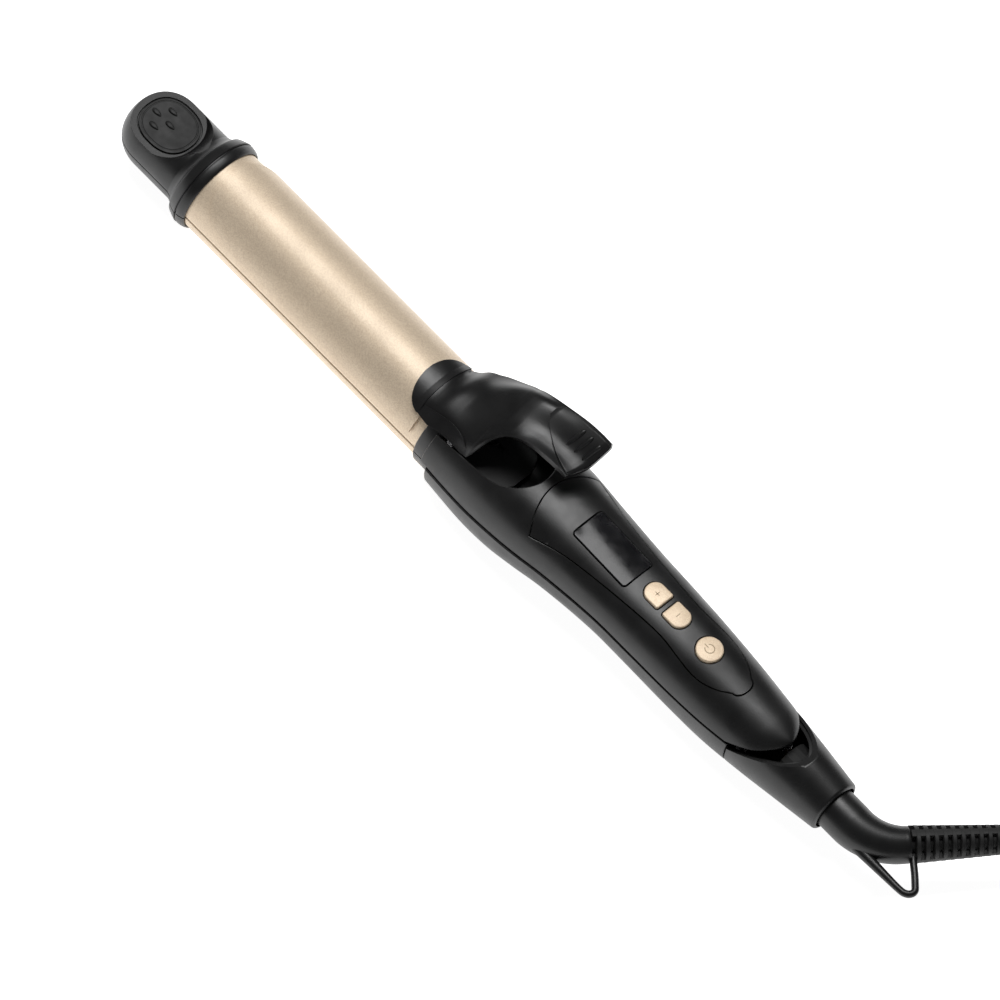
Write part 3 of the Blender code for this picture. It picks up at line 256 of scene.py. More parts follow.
class Shade:
    """Node tree of one procedural material, with the object's own coordinates as its source."""

    def __init__(self, name, colour, roughness, metallic=0.0):
        self.made = bpy.data.materials.new(name)
        self.made.use_nodes = True
        self.nodes = self.made.node_tree.nodes
        self.shader = self.nodes["Principled BSDF"]
        self.colour = colour
        self.roughness = roughness
        self.shader.inputs["Base Color"].default_value = (*colour, 1.0)
        self.shader.inputs["Roughness"].default_value = roughness
        self.shader.inputs["Metallic"].default_value = metallic
        self.source = self.nodes.new("ShaderNodeTexCoord").outputs["Object"]

    def link(self, start, end):
        self.made.node_tree.links.new(start, end)

    def noise(self, scale, detail=2.0, stretch=(1, 1, 1)):
        """Noise with a scale in features per metre."""
        mapping = self.nodes.new("ShaderNodeMapping")
        mapping.inputs["Scale"].default_value = stretch
        self.link(self.source, mapping.inputs["Vector"])
        made = self.nodes.new("ShaderNodeTexNoise")
        made.inputs["Scale"].default_value = scale
        made.inputs["Detail"].default_value = detail
        self.link(mapping.outputs["Vector"], made.inputs["Vector"])
        return made.outputs["Fac"]

    def between(self, value, low, high):
        """Value from 0.3 to 0.7 remapped to low to high."""
        node = self.nodes.new("ShaderNodeMapRange")
        node.inputs["From Min"].default_value = 0.3
        node.inputs["From Max"].default_value = 0.7
        node.inputs["To Min"].default_value = low
        node.inputs["To Max"].default_value = high
        self.link(value, node.inputs["Value"])
        return node.outputs["Result"]

    def tint(self, value, other):
        """Base colour that drifts towards another colour with a 0 to 1 value."""
        node = self.nodes.new("ShaderNodeMix")
        node.data_type = "RGBA"
        node.inputs["A"].default_value = (*self.colour, 1.0)
        node.inputs["B"].default_value = (*other, 1.0)
        self.link(value, node.inputs["Factor"])
        self.link(node.outputs["Result"], self.shader.inputs["Base Color"])

    def gloss(self, value, change):
        self.link(self.between(value, self.roughness - change, self.roughness + change),
                  self.shader.inputs["Roughness"])

    def bump(self, value, height):
        """Relief with a height in millimetres."""
        node = self.nodes.new("ShaderNodeBump")
        node.inputs["Strength"].default_value = 1.0
        node.inputs["Distance"].default_value = height * MM
        self.link(value, node.inputs["Height"])
        self.link(node.outputs["Normal"], self.shader.inputs["Normal"])

    def flakes(self, scale, tilt, sparkle):
        """Metal flakes: small cells that lean a little out of the surface."""
        cells = self.nodes.new("ShaderNodeTexVoronoi")
        cells.inputs["Scale"].default_value = scale
        self.link(self.source, cells.inputs["Vector"])
        lean = self.nodes.new("ShaderNodeVectorMath")
        lean.operation = "MULTIPLY_ADD"
        lean.inputs[1].default_value = (tilt, tilt, tilt)
        self.link(cells.outputs["Color"], lean.inputs[0])
        lean.inputs[2].default_value = (-tilt / 2, -tilt / 2, -tilt / 2)
        normal = self.nodes.new("ShaderNodeNewGeometry").outputs["Normal"]
        add = self.nodes.new("ShaderNodeVectorMath")
        add.operation = "ADD"
        self.link(normal, add.inputs[0])
        self.link(lean.outputs["Vector"], add.inputs[1])
        unit = self.nodes.new("ShaderNodeVectorMath")
        unit.operation = "NORMALIZE"
        self.link(add.outputs["Vector"], unit.inputs[0])
        self.link(unit.outputs["Vector"], self.shader.inputs["Normal"])
        separate = self.nodes.new("ShaderNodeSeparateColor")
        self.link(cells.outputs["Color"], separate.inputs["Color"])
        self.tint(separate.outputs["Red"], sparkle)


def satin_plastic(name, level=0.0055, roughness=0.38):
    """Black moulded plastic with a fine spark-eroded grain."""
    shade = Shade(name, (level, level, level * 1.03), roughness)
    shade.tint(shade.between(shade.noise(90, 4), 0, 1), (level * 1.6, level * 1.6, level * 1.65))
    shade.gloss(shade.noise(140, 5), 0.05)
    shade.bump(shade.noise(2600, 2), 0.012)
    return shade.made


def champagne_coating(name, colour=(0.70, 0.56, 0.41), sparkle=(0.84, 0.70, 0.53)):
    """Ceramic coating with fine metal flakes."""
    shade = Shade(name, colour, 0.56, 0.42)
    shade.flakes(3200, 0.09, sparkle)
    shade.gloss(shade.noise(60, 4), 0.04)
    shade.shader.inputs["Coat Weight"].default_value = 0.25
    shade.shader.inputs["Coat Roughness"].default_value = 0.2
    return shade.made


def smoked_lens(name):
    shade = Shade(name, (0.004, 0.004, 0.005), 0.03)
    shade.tint(shade.between(shade.noise(40, 3), 0, 1), (0.010, 0.010, 0.012))
    shade.gloss(shade.noise(300, 4), 0.008)
    shade.shader.inputs["IOR"].default_value = 1.36
    return shade.made


def soft_rubber(name, level=0.007):
    shade = Shade(name, (level, level, level), 0.58)
    shade.tint(shade.between(shade.noise(120, 4), 0, 1), (level * 1.7, level * 1.7, level * 1.7))
    shade.gloss(shade.noise(260, 4), 0.07)
    shade.bump(shade.noise(3600, 3), 0.015)
    return shade.made


def turned_steel(name, colour=(0.56, 0.56, 0.58), roughness=0.3):
    """Steel with fine lines along the wand."""
    shade = Shade(name, colour, roughness, 1.0)
    lines = shade.noise(1500, 2, (0.06, 1, 1))
    shade.gloss(lines, 0.1)
    shade.tint(shade.between(shade.noise(220, 4), 0, 1), tuple(c * 0.8 for c in colour))
    shade.bump(lines, 0.004)
    return shade.made


def chalky(name, colour):
    """Dry ceramic or insulating moulding."""
    shade = Shade(name, colour, 0.7)
    shade.tint(shade.between(shade.noise(300, 5), 0, 1), tuple(c * 0.82 for c in colour))
    shade.bump(shade.noise(1800, 4), 0.03)
    return shade.made


def solder_mask(name):
    shade = Shade(name, (0.015, 0.13, 0.05), 0.35)
    shade.tint(shade.between(shade.noise(700, 1, (1, 0.15, 1)), 0, 1), (0.03, 0.22, 0.09))
    shade.gloss(shade.noise(200, 3), 0.06)
    return shade.made


# Mesh builders

def finish_piece(name, bm, made, body, stands_for=(), angle=35):
    bmesh.ops.remove_doubles(bm, verts=bm.verts, dist=1e-7)
    bmesh.ops.recalc_face_normals(bm, faces=bm.faces)
    mesh = bpy.data.meshes.new(name)
    bm.to_mesh(mesh)
    bm.free()
    if made:
        mesh.materials.append(made)
    mesh.shade_smooth()
    mesh.set_sharp_from_angle(angle=math.radians(angle))
    piece = add_object(name, mesh)
    if body:
        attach(piece, body)
    if stands_for:
        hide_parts(*stands_for)
    return piece


def add_object(name, data):
    thing = bpy.data.objects.new(name, data)
    bpy.context.scene.collection.objects.link(thing)
    return thing


def skin(bm, rows, around):
    """Quads between neighbouring rows of points; around joins each row's ends."""
    made = [[bm.verts.new(p) for p in row] for row in rows]
    count = len(made[0])
    for here, there in zip(made, made[1:]):
        for i in range(count if around else count - 1):
            j = (i + 1) % count
            bm.faces.new((here[i], here[j], there[j], there[i]))
    return made


def solid_rings(bm, rings):
    """Closed solid through rings of equal count."""
    made = skin(bm, rings, True)
    bm.faces.new(made[0])
    bm.faces.new(made[-1])


def wall_between(bm, stations, around):
    """Wall between the outer and inner curves of each station."""
    outer = skin(bm, [station[0] for station in stations], around)
    inner = skin(bm, [station[1] for station in stations], around)
    count = len(outer[0])
    for k in range(len(stations) - 1):
        if around:
            break
        for i in (0, count - 1):
            bm.faces.new((outer[k][i], inner[k][i], inner[k + 1][i], outer[k + 1][i]))
    for k in (0, len(stations) - 1):
        for i in range(count if around else count - 1):
            j = (i + 1) % count
            bm.faces.new((outer[k][i], outer[k][j], inner[k][j], inner[k][i]))


def wall_piece(name, stations, around, made, body, stands_for=()):
    """Piece that is one wall."""
    bm = bmesh.new()
    wall_between(bm, stations, around)
    return finish_piece(name, bm, made, body, stands_for)


def turned_rings(profile, segments, centre=(0.0, 0.0)):
    """Rings of a profile of (s, radius) turned about a line along the wand."""
    rings = []
    for s, radius in profile:
        ring = []
        for i in range(segments):
            a = 2 * math.pi * i / segments
            ring.append(place(s, centre[0] + radius * math.sin(a), centre[1] + radius * math.cos(a)))
        rings.append(ring)
    return rings


def swept_rings(spots, radii, segments):
    """Round rings square to a route of points that are already in metres."""
    rings = []
    for k, spot in enumerate(spots):
        ahead = spots[min(k + 1, len(spots) - 1)]
        behind = spots[max(k - 1, 0)]
        direction = (ahead - behind).normalized()
        side = direction.cross(Vector((0, 0, 1))).normalized()
        up = side.cross(direction)
        ring = []
        for i in range(segments):
            a = 2 * math.pi * i / segments
            ring.append(spot + (side * math.cos(a) + up * math.sin(a)) * radii[k] * MM)
        rings.append(ring)
    return rings


def plan_solid(outline, levels):
    """Mesh on plan outlines. Each level is (height or function of s and y, growth)."""
    bm = bmesh.new()
    rings = []
    for level, grow in levels:
        ring = []
        for s, y in outline(grow):
            z = level(s, y) if callable(level) else level
            ring.append(place(s, y, z))
        rings.append(ring)
    solid_rings(bm, rings)
    return bm


def carve(target, cutter_mesh, operation="DIFFERENCE"):
    """Boolean by a temporary solid, applied at once."""
    cutter = finish_piece("cutter", cutter_mesh, None, None)
    step = target.modifiers.new("cut", "BOOLEAN")
    step.operation = operation
    step.object = cutter
    step.solver = "EXACT"
    settle(target)
    bpy.data.objects.remove(cutter)


def settle(target, angle=35):
    """Replace the mesh by its evaluated form and mark its sharp edges again."""
    depsgraph = bpy.context.evaluated_depsgraph_get()
    mesh = bpy.data.meshes.new_from_object(target.evaluated_get(depsgraph))
    target.modifiers.clear()
    target.data = mesh
    mesh.shade_smooth()
    mesh.set_sharp_from_angle(angle=math.radians(angle))


def soften(target, width, segments=2, angle=50):
    """Round the edges that are sharper than an angle."""
    step = target.modifiers.new("soften", "BEVEL")
    step.width = width * MM
    step.segments = segments
    step.limit_method = "ANGLE"
    step.angle_limit = math.radians(angle)
    step.use_clamp_overlap = True
    step.harden_normals = False
    settle(target)


def even_normals(target):
    step = target.modifiers.new("even_normals", "WEIGHTED_NORMAL")
    step.keep_sharp = True
    step.weight = 80


# Outlines

def rounded_outline(centre, half_length, half_width, corner, grow=0.0, steps=8):
    outline = []
    length = half_length + grow
    width = half_width + grow
    radius = max(corner + grow, 0.05)
    for quarter in range(4):
        sign_s = (1, -1, -1, 1)[quarter]
        sign_y = (1, 1, -1, -1)[quarter]
        for i in range(steps + 1):
            a = math.radians(90 * quarter + 90 * i / steps)
            outline.append((centre + sign_s * (length - radius) + radius * math.cos(a),
                            sign_y * (width - radius) + radius * math.sin(a)))
    return outline


def key_outline(start, round_first, grow=0.0):
    """Key with one nearly semicircular end and one with small corners."""
    outline = []
    half = KEY_HALF_WIDTH + grow
    bulge = 3.4 + grow
    corner = 0.9 + grow
    flip = -1 if round_first else 1
    straight_end = (start + KEY_LENGTH if round_first else start) - flip * grow
    round_end = (start if round_first else start + KEY_LENGTH) + flip * grow
    for i in range(25):
        a = math.radians(-90 + 180 * i / 24)
        outline.append((round_end - flip * bulge + flip * bulge * math.cos(a), half * math.sin(a)))
    for side in (1, -1):
        for i in range(8):
            a = math.radians(90 * i / 7)
            along_s = math.sin(a) if side == 1 else math.cos(a)
            across = math.cos(a) if side == 1 else math.sin(a)
            outline.append((straight_end + flip * corner - flip * corner * along_s,
                            side * (half - corner + corner * across)))
    return outline


def circle_outline(centre, radius, count=64):
    return [(centre + radius * math.cos(2 * math.pi * i / count),
             radius * math.sin(2 * math.pi * i / count)) for i in range(count)]


def superellipse(centre, half_length, half_width, power, count=72):
    outline = []
    for i in range(count):
        a = 2 * math.pi * i / count
        c, s = math.cos(a), math.sin(a)
        outline.append((centre + half_length * math.copysign(abs(c) ** (2 / power), c),
                        half_width * math.copysign(abs(s) ** (2 / power), s)))
    return outline


# Handle surface

def handle_point(s, turn, inset=0.0):
    """(y, z) on the handle's section. turn is 0 on top and grows towards +Y."""
    width, top, bottom, level, power = along(HANDLE, s)
    cos_t = math.cos(turn)
    sin_t = math.sin(turn)
    height = (top - level if cos_t >= 0 else level - bottom) - inset
    y = (width - inset) * math.copysign(abs(sin_t) ** (2 / power), sin_t)
    z = level + height * math.copysign(abs(cos_t) ** (2 / power), cos_t)
    return y, max(z, -AXIS_Z / MM + max(inset, 0.0))


def turn_at_level(s, z, inset=0.0):
    """Turn round the section, from its top, at which the surface has a level."""
    top, bottom, level, power = along(HANDLE, s)[1:]
    height = (top - level if z >= level else level - bottom) - inset
    share = min(abs(z - level) / height, 1.0)
    angle = math.acos(share ** (power / 2))
    return angle if z >= level else math.pi - angle


def top_level(s, y, inset=0.0):
    width, top, _, level, power = along(HANDLE, s)
    share = min(abs(y) / (width - inset), 1.0)
    return level + (top - level - inset) * (1 - share ** power) ** (1 / power)


def seam_level(s):
    if s <= REAR_CUT_START:
        return along(SEAM, s)[0]
    return along(SEAM, REAR_CUT_START)[0] + (s - REAR_CUT_START) * REAR_CUT_SLOPE


def half_section(s, level, inset, upper, chamfer=0.0, count=49):
    """Curve over the top, or under the bottom, between two points at one level, with a
    small chamfer at both ends."""
    sign = 1 if upper else -1
    edge = turn_at_level(s, level + sign * chamfer, inset)
    start, end = (edge, -edge) if upper else (edge, 2 * math.pi - edge)
    curve = [handle_point(s, turn, inset) for turn in spread(start, end, count)]
    first = (curve[0][0] - chamfer, level)
    last = (curve[-1][0] + chamfer, level)
    return [place(s, y, z) for y, z in [first] + curve + [last]]


# Handle parts

def upper_shell():
    stations = []
    levels = [(UPPER_START, 0.3), (UPPER_START + 0.3, 0.0)]
    levels += [(s, 0.0) for s in spread(UPPER_START + 2.0, REAR_CUT_START, 64)]
    levels += [(s, 0.0) for s in spread(REAR_CUT_START + 1.0, UPPER_END - 1.0, 24)]
    levels += [(s, 0.0) for s in spread(UPPER_END - 0.8, UPPER_END, 6)]
    for s, inset in levels:
        level = seam_level(s) + GAP
        outer = domed(s, level, half_section(s, level, inset, True, 0.2))
        inner = domed(s, level, half_section(s, level, WALL, True))
        if s > DOME_START + 1.0:
            middle = place(s, 0.0, level)
            inner = [middle + (p - middle) * 0.8 for p in outer]
        stations.append((outer, inner))
    shell = wall_piece("upper_shell_skin", stations, False, satin_plastic("upper_shell"),
                       "upper_arm", ["upper_shell"])
    carve(shell, plan_solid(well_outline, [(5.0, 0.0), (rim_low, 0.0), (rim_high, 0.5), (30.0, 0.5)]))
    carve(shell, plan_solid(console_outline, [(8.0, GAP), (groove_low, GAP), (rim_high, GAP + 0.25),
                                              (30.0, GAP + 0.25)]))
    even_normals(shell)


def domed(s, level, points):
    """Draw a section in towards its own edge level, so that the shell's rear is rounded."""
    reach = min(max((s - DOME_START) / (UPPER_END + 0.05 - DOME_START), 0.0), 1.0)
    share = math.sqrt(1 - reach ** 2)
    base = place(s, 0, level).z
    return [Vector((p.x, p.y * share, base + (p.z - base) * math.sqrt(share))) for p in points]


def rim_low(s, y):
    return top_level(s, y) - 0.5


def groove_low(s, y):
    return top_level(s, y) - 0.2


def rim_high(s, y):
    return top_level(s, y) + 0.05


def well_outline(grow=0.0):
    half = WELL_HALF + grow
    outline = [(s, half) for s in spread(UPPER_START - 4.0, WELL_STRAIGHT, 14)]
    for i in range(1, 24):
        a = math.radians(90 * i / 24)
        outline.append((WELL_STRAIGHT + (WELL_END + grow - WELL_STRAIGHT) * math.sin(a),
                        half * math.cos(a)))
    mirrored = [(s, -y) for s, y in reversed(outline)]
    return outline + [(WELL_END + grow, 0.0)] + mirrored


def lower_swell(s):
    """How far the lower shell stands out past the upper one: most at the front."""
    return LOWER_SWELL * min(max((LOWER_END - s) / SWELL_LENGTH, 0.0), 1.0)


def lower_shell():
    stations = []
    levels = [(LOWER_START, 0.5), (LOWER_START + 0.15, 0.25), (LOWER_START + 0.5, 0.0)]
    levels += [(s, 0.0) for s in spread(LOWER_START + 2.0, LOWER_END - 0.2, 70)]
    levels += [(LOWER_END, 0.2)]
    for s, inset in levels:
        level = along(SEAM, min(s, REAR_CUT_START))[0] - GAP
        stations.append((half_section(s, level, inset - lower_swell(s), False, 0.2),
                         half_section(s, level, WALL, False)))
    shell = wall_piece("lower_shell_skin", stations, False, satin_plastic("lower_shell"),
                       "lower_arm", ["lower_shell"])
    even_normals(shell)


def cone_sections(wall_out, wall_in, start, end, lip):
    """Round sections of the tail between two insets."""
    stations = []
    for s in [start] + spread(start + 0.3, end - 1.2, 22) + spread(end - 1.0, end, 5):
        near_end = max(s - (end - 1.0), 0.0)
        drop = lip * (1 - math.sqrt(max(1 - near_end ** 2, 0.0)))
        drop = max(drop, 0.2 if s == start else 0.0)
        outer = []
        inner = []
        for i in range(72):
            y, z = handle_point(s, 2 * math.pi * i / 72)
            length = math.hypot(y, z)
            out = length - wall_out - drop
            bore = max(length - wall_in, TAIL_BORE)
            outer.append(place(s, y * out / length, z * out / length))
            inner.append(place(s, y * min(bore, out - 0.2) / length, z * min(bore, out - 0.2) / length))
        stations.append((outer, inner))
    return stations


def slope_area(grow=0.0):
    """Plan area of the tail's slanting cut, the same at every level."""
    front, rear = TAIL_START - 8.0, TAIL_START + 45.0
    return [(front, -20.0), (rear, -20.0), (rear, 20.0), (front, 20.0)]


def tail_level(s, y):
    """Slanting cut of the tail, the same at every side position."""
    return TAIL_CUT[1] + (s - TAIL_CUT[0]) * TAIL_CUT_SLOPE


def liner_level(s, y):
    return tail_level(s, y) - 0.9


def tail_parts():
    """Tail cone with a thin lip, and the liner that shows inside it."""
    sections = cone_sections(0.0, 1.0, TAIL_START, TAIL_END, 1.0)
    cone = wall_piece("tail_cone_skin", sections, True, satin_plastic("tail_cone"), "lower_arm",
                      ["tail_cone"])
    carve(cone, plan_solid(slope_area, [(tail_level, 0.0), (40.0, 0.0)]))
    even_normals(cone)
    sections = cone_sections(1.3, 2.5, TAIL_START + 0.6, TAIL_END - 8.0, 0.0)
    liner = wall_piece("tail_liner", sections, True, satin_plastic("tail_liner", 0.004, 0.5),
                       "lower_arm")
    carve(liner, plan_solid(slope_area, [(liner_level, 0.0), (40.0, 0.0)]))
    soften(liner, 0.2)


# Console

def console_half(s):
    if s >= CONSOLE[-1][0]:
        share = (s - CONSOLE[-1][0]) / (CONSOLE_END - CONSOLE[-1][0])
        return CONSOLE[-1][1] * math.sqrt(max(1 - share ** 2, 0.0))
    return along(CONSOLE, s)[0]


def console_rows():
    """Plan stations of the panel, closer together round its rear end."""
    last = CONSOLE[-1][0]
    turns = (0, 12, 24, 36, 48, 60, 72, 82)
    rear = [last + (CONSOLE_END - last) * math.sin(math.radians(a)) for a in turns]
    return spread(CONSOLE[0][0], 276.0, 48) + spread(277.5, last - 1.0, 9) + rear


def console_plan(s, share, grow=0.0):
    fade = max(1 - (s - CONSOLE[0][0]) / 14.0, 0.0)
    bow = CONSOLE_BOW * (1 - share ** 2) * fade
    rear = grow * (s - CONSOLE[-1][0]) / (CONSOLE_END - CONSOLE[-1][0]) if s > CONSOLE[-1][0] else 0
    return s - bow + rear, share * (console_half(s) + grow)


def console_outline(grow):
    front = [console_plan(CONSOLE[0][0], share, grow) for share in spread(-1, 1, 25)]
    front = [(s - grow, y) for s, y in front]
    near = [console_plan(s, 1, grow) for s in console_rows()[1:]]
    far = [console_plan(s, -1, grow) for s in reversed(console_rows()[1:])]
    return front + near + far


def console_panel():
    stations = []
    for s in console_rows():
        outer = []
        inner = []
        for share in spread(1, -1, 25):
            at_s, y = console_plan(s, share)
            outer.append(place(at_s, y, top_level(at_s, y)))
            inner.append(place(at_s, y, top_level(at_s, y) - CONSOLE_THICKNESS))
        stations.append((outer, inner))
    panel = wall_piece("console_skin", stations, False, satin_plastic("console", 0.0055, 0.36),
                       "upper_arm", ["console_panel"])
    soften(panel, 0.2)
    shapes = [
        lambda grow: rounded_outline(LENS_CENTRE, *LENS_HALF, LENS_CORNER, GAP * 0.8 + grow),
        lambda grow: key_outline(PLUS_START, True, GAP * 0.8 + grow),
        lambda grow: key_outline(MINUS_START, False, GAP * 0.8 + grow),
        lambda grow: circle_outline(POWER_CENTRE, POWER_RADIUS + GAP * 0.8 + grow),
    ]
    for shape in shapes:
        carve(panel, plan_solid(shape, [(8.0, 0.0), (groove_low, 0.0), (rim_high, 0.2), (30.0, 0.2)]))
    even_normals(panel)


def lens_level(s, y):
    """Sloping plane of the display lens's face."""
    slope = (top_level(LENS_CENTRE + 13, 0) - top_level(LENS_CENTRE - 13, 0)) / 26.0
    return top_level(LENS_CENTRE, 0) - 0.25 + slope * (s - LENS_CENTRE)


def lens_underside(s, y):
    return lens_level(s, y) - LENS_THICKNESS


def lens_shape(grow):
    return rounded_outline(LENS_CENTRE, *LENS_HALF, LENS_CORNER, grow)


def display_lens():
    bm = plan_solid(lens_shape, [(lens_underside, 0.0), (lens_level, 0.0)])
    lens = finish_piece("lens_skin", bm, smoked_lens("lens"), "upper_arm", ["display_lens"])
    soften(lens, 0.25, 3)
    even_normals(lens)


def key_piece(name, shape, centre, body, node):
    """Crowned key. Gives back the level of its face."""
    face = top_level(centre, 0) + KEY_PROUD
    levels = [(face - KEY_DEPTH, 0.0), (face - 0.45, 0.0), (face - 0.2, -0.08), (face - 0.05, -0.22),
              (face, -0.45)]
    made = champagne_coating(name, (0.74, 0.58, 0.41), (0.84, 0.69, 0.51))
    finish_piece(name, plan_solid(shape, levels), made, body, [node])
    return face


def mark(name, strokes, face, body, made):
    """Thin engraved-looking strokes on a key's face: (s, y) outlines."""
    bm = bmesh.new()
    for outline in strokes:
        low = [place(s, y, face - 0.2) for s, y in outline]
        high = [place(s, y, face + 0.02) for s, y in outline]
        solid_rings(bm, [low, high])
    finish_piece(name, bm, made, body)


def bar_outline(centre_s, centre_y, half_s, half_y):
    return [(centre_s - half_s, centre_y - half_y), (centre_s + half_s, centre_y - half_y),
            (centre_s + half_s, centre_y + half_y), (centre_s - half_s, centre_y + half_y)]


def arc_outline(centre, radius, half_width, open_angle, count=40):
    """Open ring drawn round a point, with its gap towards the wand's tip."""
    outer = []
    inner = []
    for a in spread(math.pi + open_angle, -math.pi - open_angle, count):
        outer.append((centre + (radius + half_width) * math.cos(a), (radius + half_width) * math.sin(a)))
        inner.append((centre + (radius - half_width) * math.cos(a), (radius - half_width) * math.sin(a)))
    return outer + inner[::-1]


def keys():
    plus_centre = PLUS_START + KEY_LENGTH / 2 + 0.3
    minus_centre = MINUS_START + KEY_LENGTH / 2 - 0.3
    dark = Shade("key_mark", (0.30, 0.22, 0.13), 0.5, 0.3)
    dark.tint(dark.between(dark.noise(900, 3), 0, 1), (0.36, 0.27, 0.17))
    plus_strokes = [bar_outline(plus_centre, 0, 0.9, 0.14), bar_outline(plus_centre, 0, 0.14, 0.9)]
    minus_strokes = [bar_outline(minus_centre, 0, 0.14, 0.9)]
    power_strokes = [arc_outline(POWER_CENTRE, 1.6, 0.16, -0.55),
                     bar_outline(POWER_CENTRE - 1.5, 0, 0.9, 0.16)]
    rows = (
        ("plus", lambda grow: key_outline(PLUS_START, True, grow), plus_centre, plus_strokes),
        ("minus", lambda grow: key_outline(MINUS_START, False, grow), minus_centre, minus_strokes),
        ("power", lambda grow: circle_outline(POWER_CENTRE, POWER_RADIUS + grow), POWER_CENTRE,
         power_strokes),
    )
    for word, shape, centre, strokes in rows:
        body = word + "_button"
        face = key_piece(word + "_key_skin", shape, centre, body, word + "_key")
        mark(word + "_mark", strokes, face, body, dark.made)


# Barrel, clamp and tip

def arc_curve(s, radius, low_angle, high_angle, count, sign=1):
    """Points on a circle about the wand's axis. Angles are degrees from the top towards +Y."""
    points = []
    for a in spread(high_angle, low_angle, count):
        t = math.radians(a)
        points.append(place(s, radius * math.sin(t), sign * radius * math.cos(t)))
    return points


def half_barrel(name, sign, body, node):
    """Half round tube with small round edges along its flat face."""
    edge_radius = 0.5
    stations = []
    for s in (BARREL_START, BARREL_START + 0.3, BARREL_END - 0.3, BARREL_END):
        out = BARREL_RADIUS - (0.3 if s in (BARREL_START, BARREL_END) else 0.0)
        turn = math.degrees(math.asin((SPLIT + edge_radius) / out))
        outer = arc_curve(s, out, -90 + turn, 90 - turn, 81, sign)
        flat = out - edge_radius
        for i in range(1, 5):
            a = math.radians(90 * i / 4)
            outer.append(place(s, -(flat + edge_radius * math.cos(a)) + 0.03,
                               sign * (SPLIT + edge_radius * (1 - math.sin(a)))))
        for y in spread(-flat + 2.0, flat - 2.0, 5):
            outer.append(place(s, y, sign * SPLIT))
        for i in range(4):
            a = math.radians(90 - 90 * i / 4)
            outer.append(place(s, (flat + edge_radius * math.cos(a)) - 0.03,
                               sign * (SPLIT + edge_radius * (1 - math.sin(a)))))
        centre = place(s, 0, sign * (SPLIT + 6.0))
        inner = [centre + (p - centre) * 0.82 for p in outer]
        stations.append((outer, inner))
    wall_piece(name, stations, True, champagne_coating(name), body, [node])


def base_ring(name, sign, end, body, node):
    stations = []
    for s, radius in ((RING_START, RING_RADIUS - 0.5), (RING_START + 0.15, RING_RADIUS - 0.2),
                      (RING_START + 0.5, RING_RADIUS), (end - 0.3, RING_RADIUS), (end, RING_RADIUS - 0.3)):
        outer_edge = math.degrees(math.acos(SPLIT / radius))
        inner_radius = BARREL_RADIUS + 0.12
        inner_edge = math.degrees(math.acos(SPLIT / inner_radius))
        stations.append((arc_curve(s, radius, -outer_edge, outer_edge, 65, sign),
                         arc_curve(s, inner_radius, -inner_edge, inner_edge, 65, sign)))
    wall_piece(name, stations, False, satin_plastic(name), body, [node])


def ring_tongue():
    """Black lip that carries the ring on under the lever."""
    stations = [(arc_curve(s, RING_RADIUS - 0.15, -TONGUE_HALF_ANGLE, TONGUE_HALF_ANGLE, 41),
                 arc_curve(s, BARREL_RADIUS + 0.15, -TONGUE_HALF_ANGLE, TONGUE_HALF_ANGLE, 41))
                for s in (UPPER_START - 0.3, TONGUE_END)]
    wall_piece("ring_tongue", stations, False, satin_plastic("ring_tongue"), "upper_arm")


def clamp_reach(s):
    """Half angle of the clamp sheet, which is rounded towards the tip."""
    share = min((s - PLATE_START) / PLATE_FRONT, 1.0)
    reach = PLATE_HALF_ANGLE * max(1 - (1 - share) ** 2.6, 0.0) ** 0.42
    return max(reach, 14.0)


def clamp_plate():
    fronts = [PLATE_START + PLATE_FRONT * (1 - math.cos(f * math.pi / 2)) for f in spread(0.0, 1.0, 40)]
    stations = []
    for s in fronts + spread(70.0, PLATE_END, 12):
        reach = clamp_reach(s)
        stations.append((arc_curve(s, PLATE_OUTER, -reach, reach, 65),
                         arc_curve(s, PLATE_INNER, -reach, reach, 65)))
    plate = wall_piece("clamp_sheet", stations, False, champagne_coating("clamp_sheet"), "clamp",
                       ["clamp_plate"])
    soften(plate, 0.22, 3, 60)
    even_normals(plate)


def tip_profile():
    """Half outline of the tip: a dome, a straight neck, a flared collar and its inner rim."""
    profile = []
    for i in range(1, 25):
        a = math.radians(90 * i / 24)
        profile.append((TIP_DOME * (1 - math.cos(a)), TIP_RADIUS * math.sin(a) ** 0.8))
    profile += [(20.0, TIP_RADIUS), (COLLAR_START - 0.25, TIP_RADIUS), (COLLAR_START, TIP_RADIUS + 0.06)]
    profile += [(31.3, 14.5), (32.3, 15.2), (32.9, 15.75), (33.1, 16.15), (33.3, 16.4), (33.7, 16.6),
                (35.0, 17.1), (36.3, 17.5), (36.6, COLLAR_RADIUS), (36.85, 17.45), (36.9, 17.05),
                (37.35, 17.05), (37.4, 17.35), (37.7, 17.5), (38.6, 17.4), (39.7, 17.1), (40.3, 16.8),
                (COLLAR_END, 16.5), (COLLAR_END, 16.25), (40.0, 16.05), (36.6, 16.05), (36.4, 11.0),
                (30.5, 11.0)]
    return profile


def tip_half(name, sign, body, node):
    bm = bmesh.new()
    rings = turned_rings(tip_profile(), 96)
    made = skin(bm, rings, True)
    nose = bm.verts.new(place(0.0, 0.0, 0.0))
    for i in range(96):
        bm.faces.new((made[0][i], made[0][(i + 1) % 96], nose))
    bm.faces.new(made[-1])
    half = finish_piece(name, bm, satin_plastic(name), body, [node])
    low, high = (SPLIT, 40.0) if sign > 0 else (-40.0, -SPLIT)
    keep = plan_solid(lambda grow: bar_outline(25.0, 0.0, 35.0, 30.0), [(low, 0.0), (high, 0.0)])
    carve(half, keep, "INTERSECT")
    return half


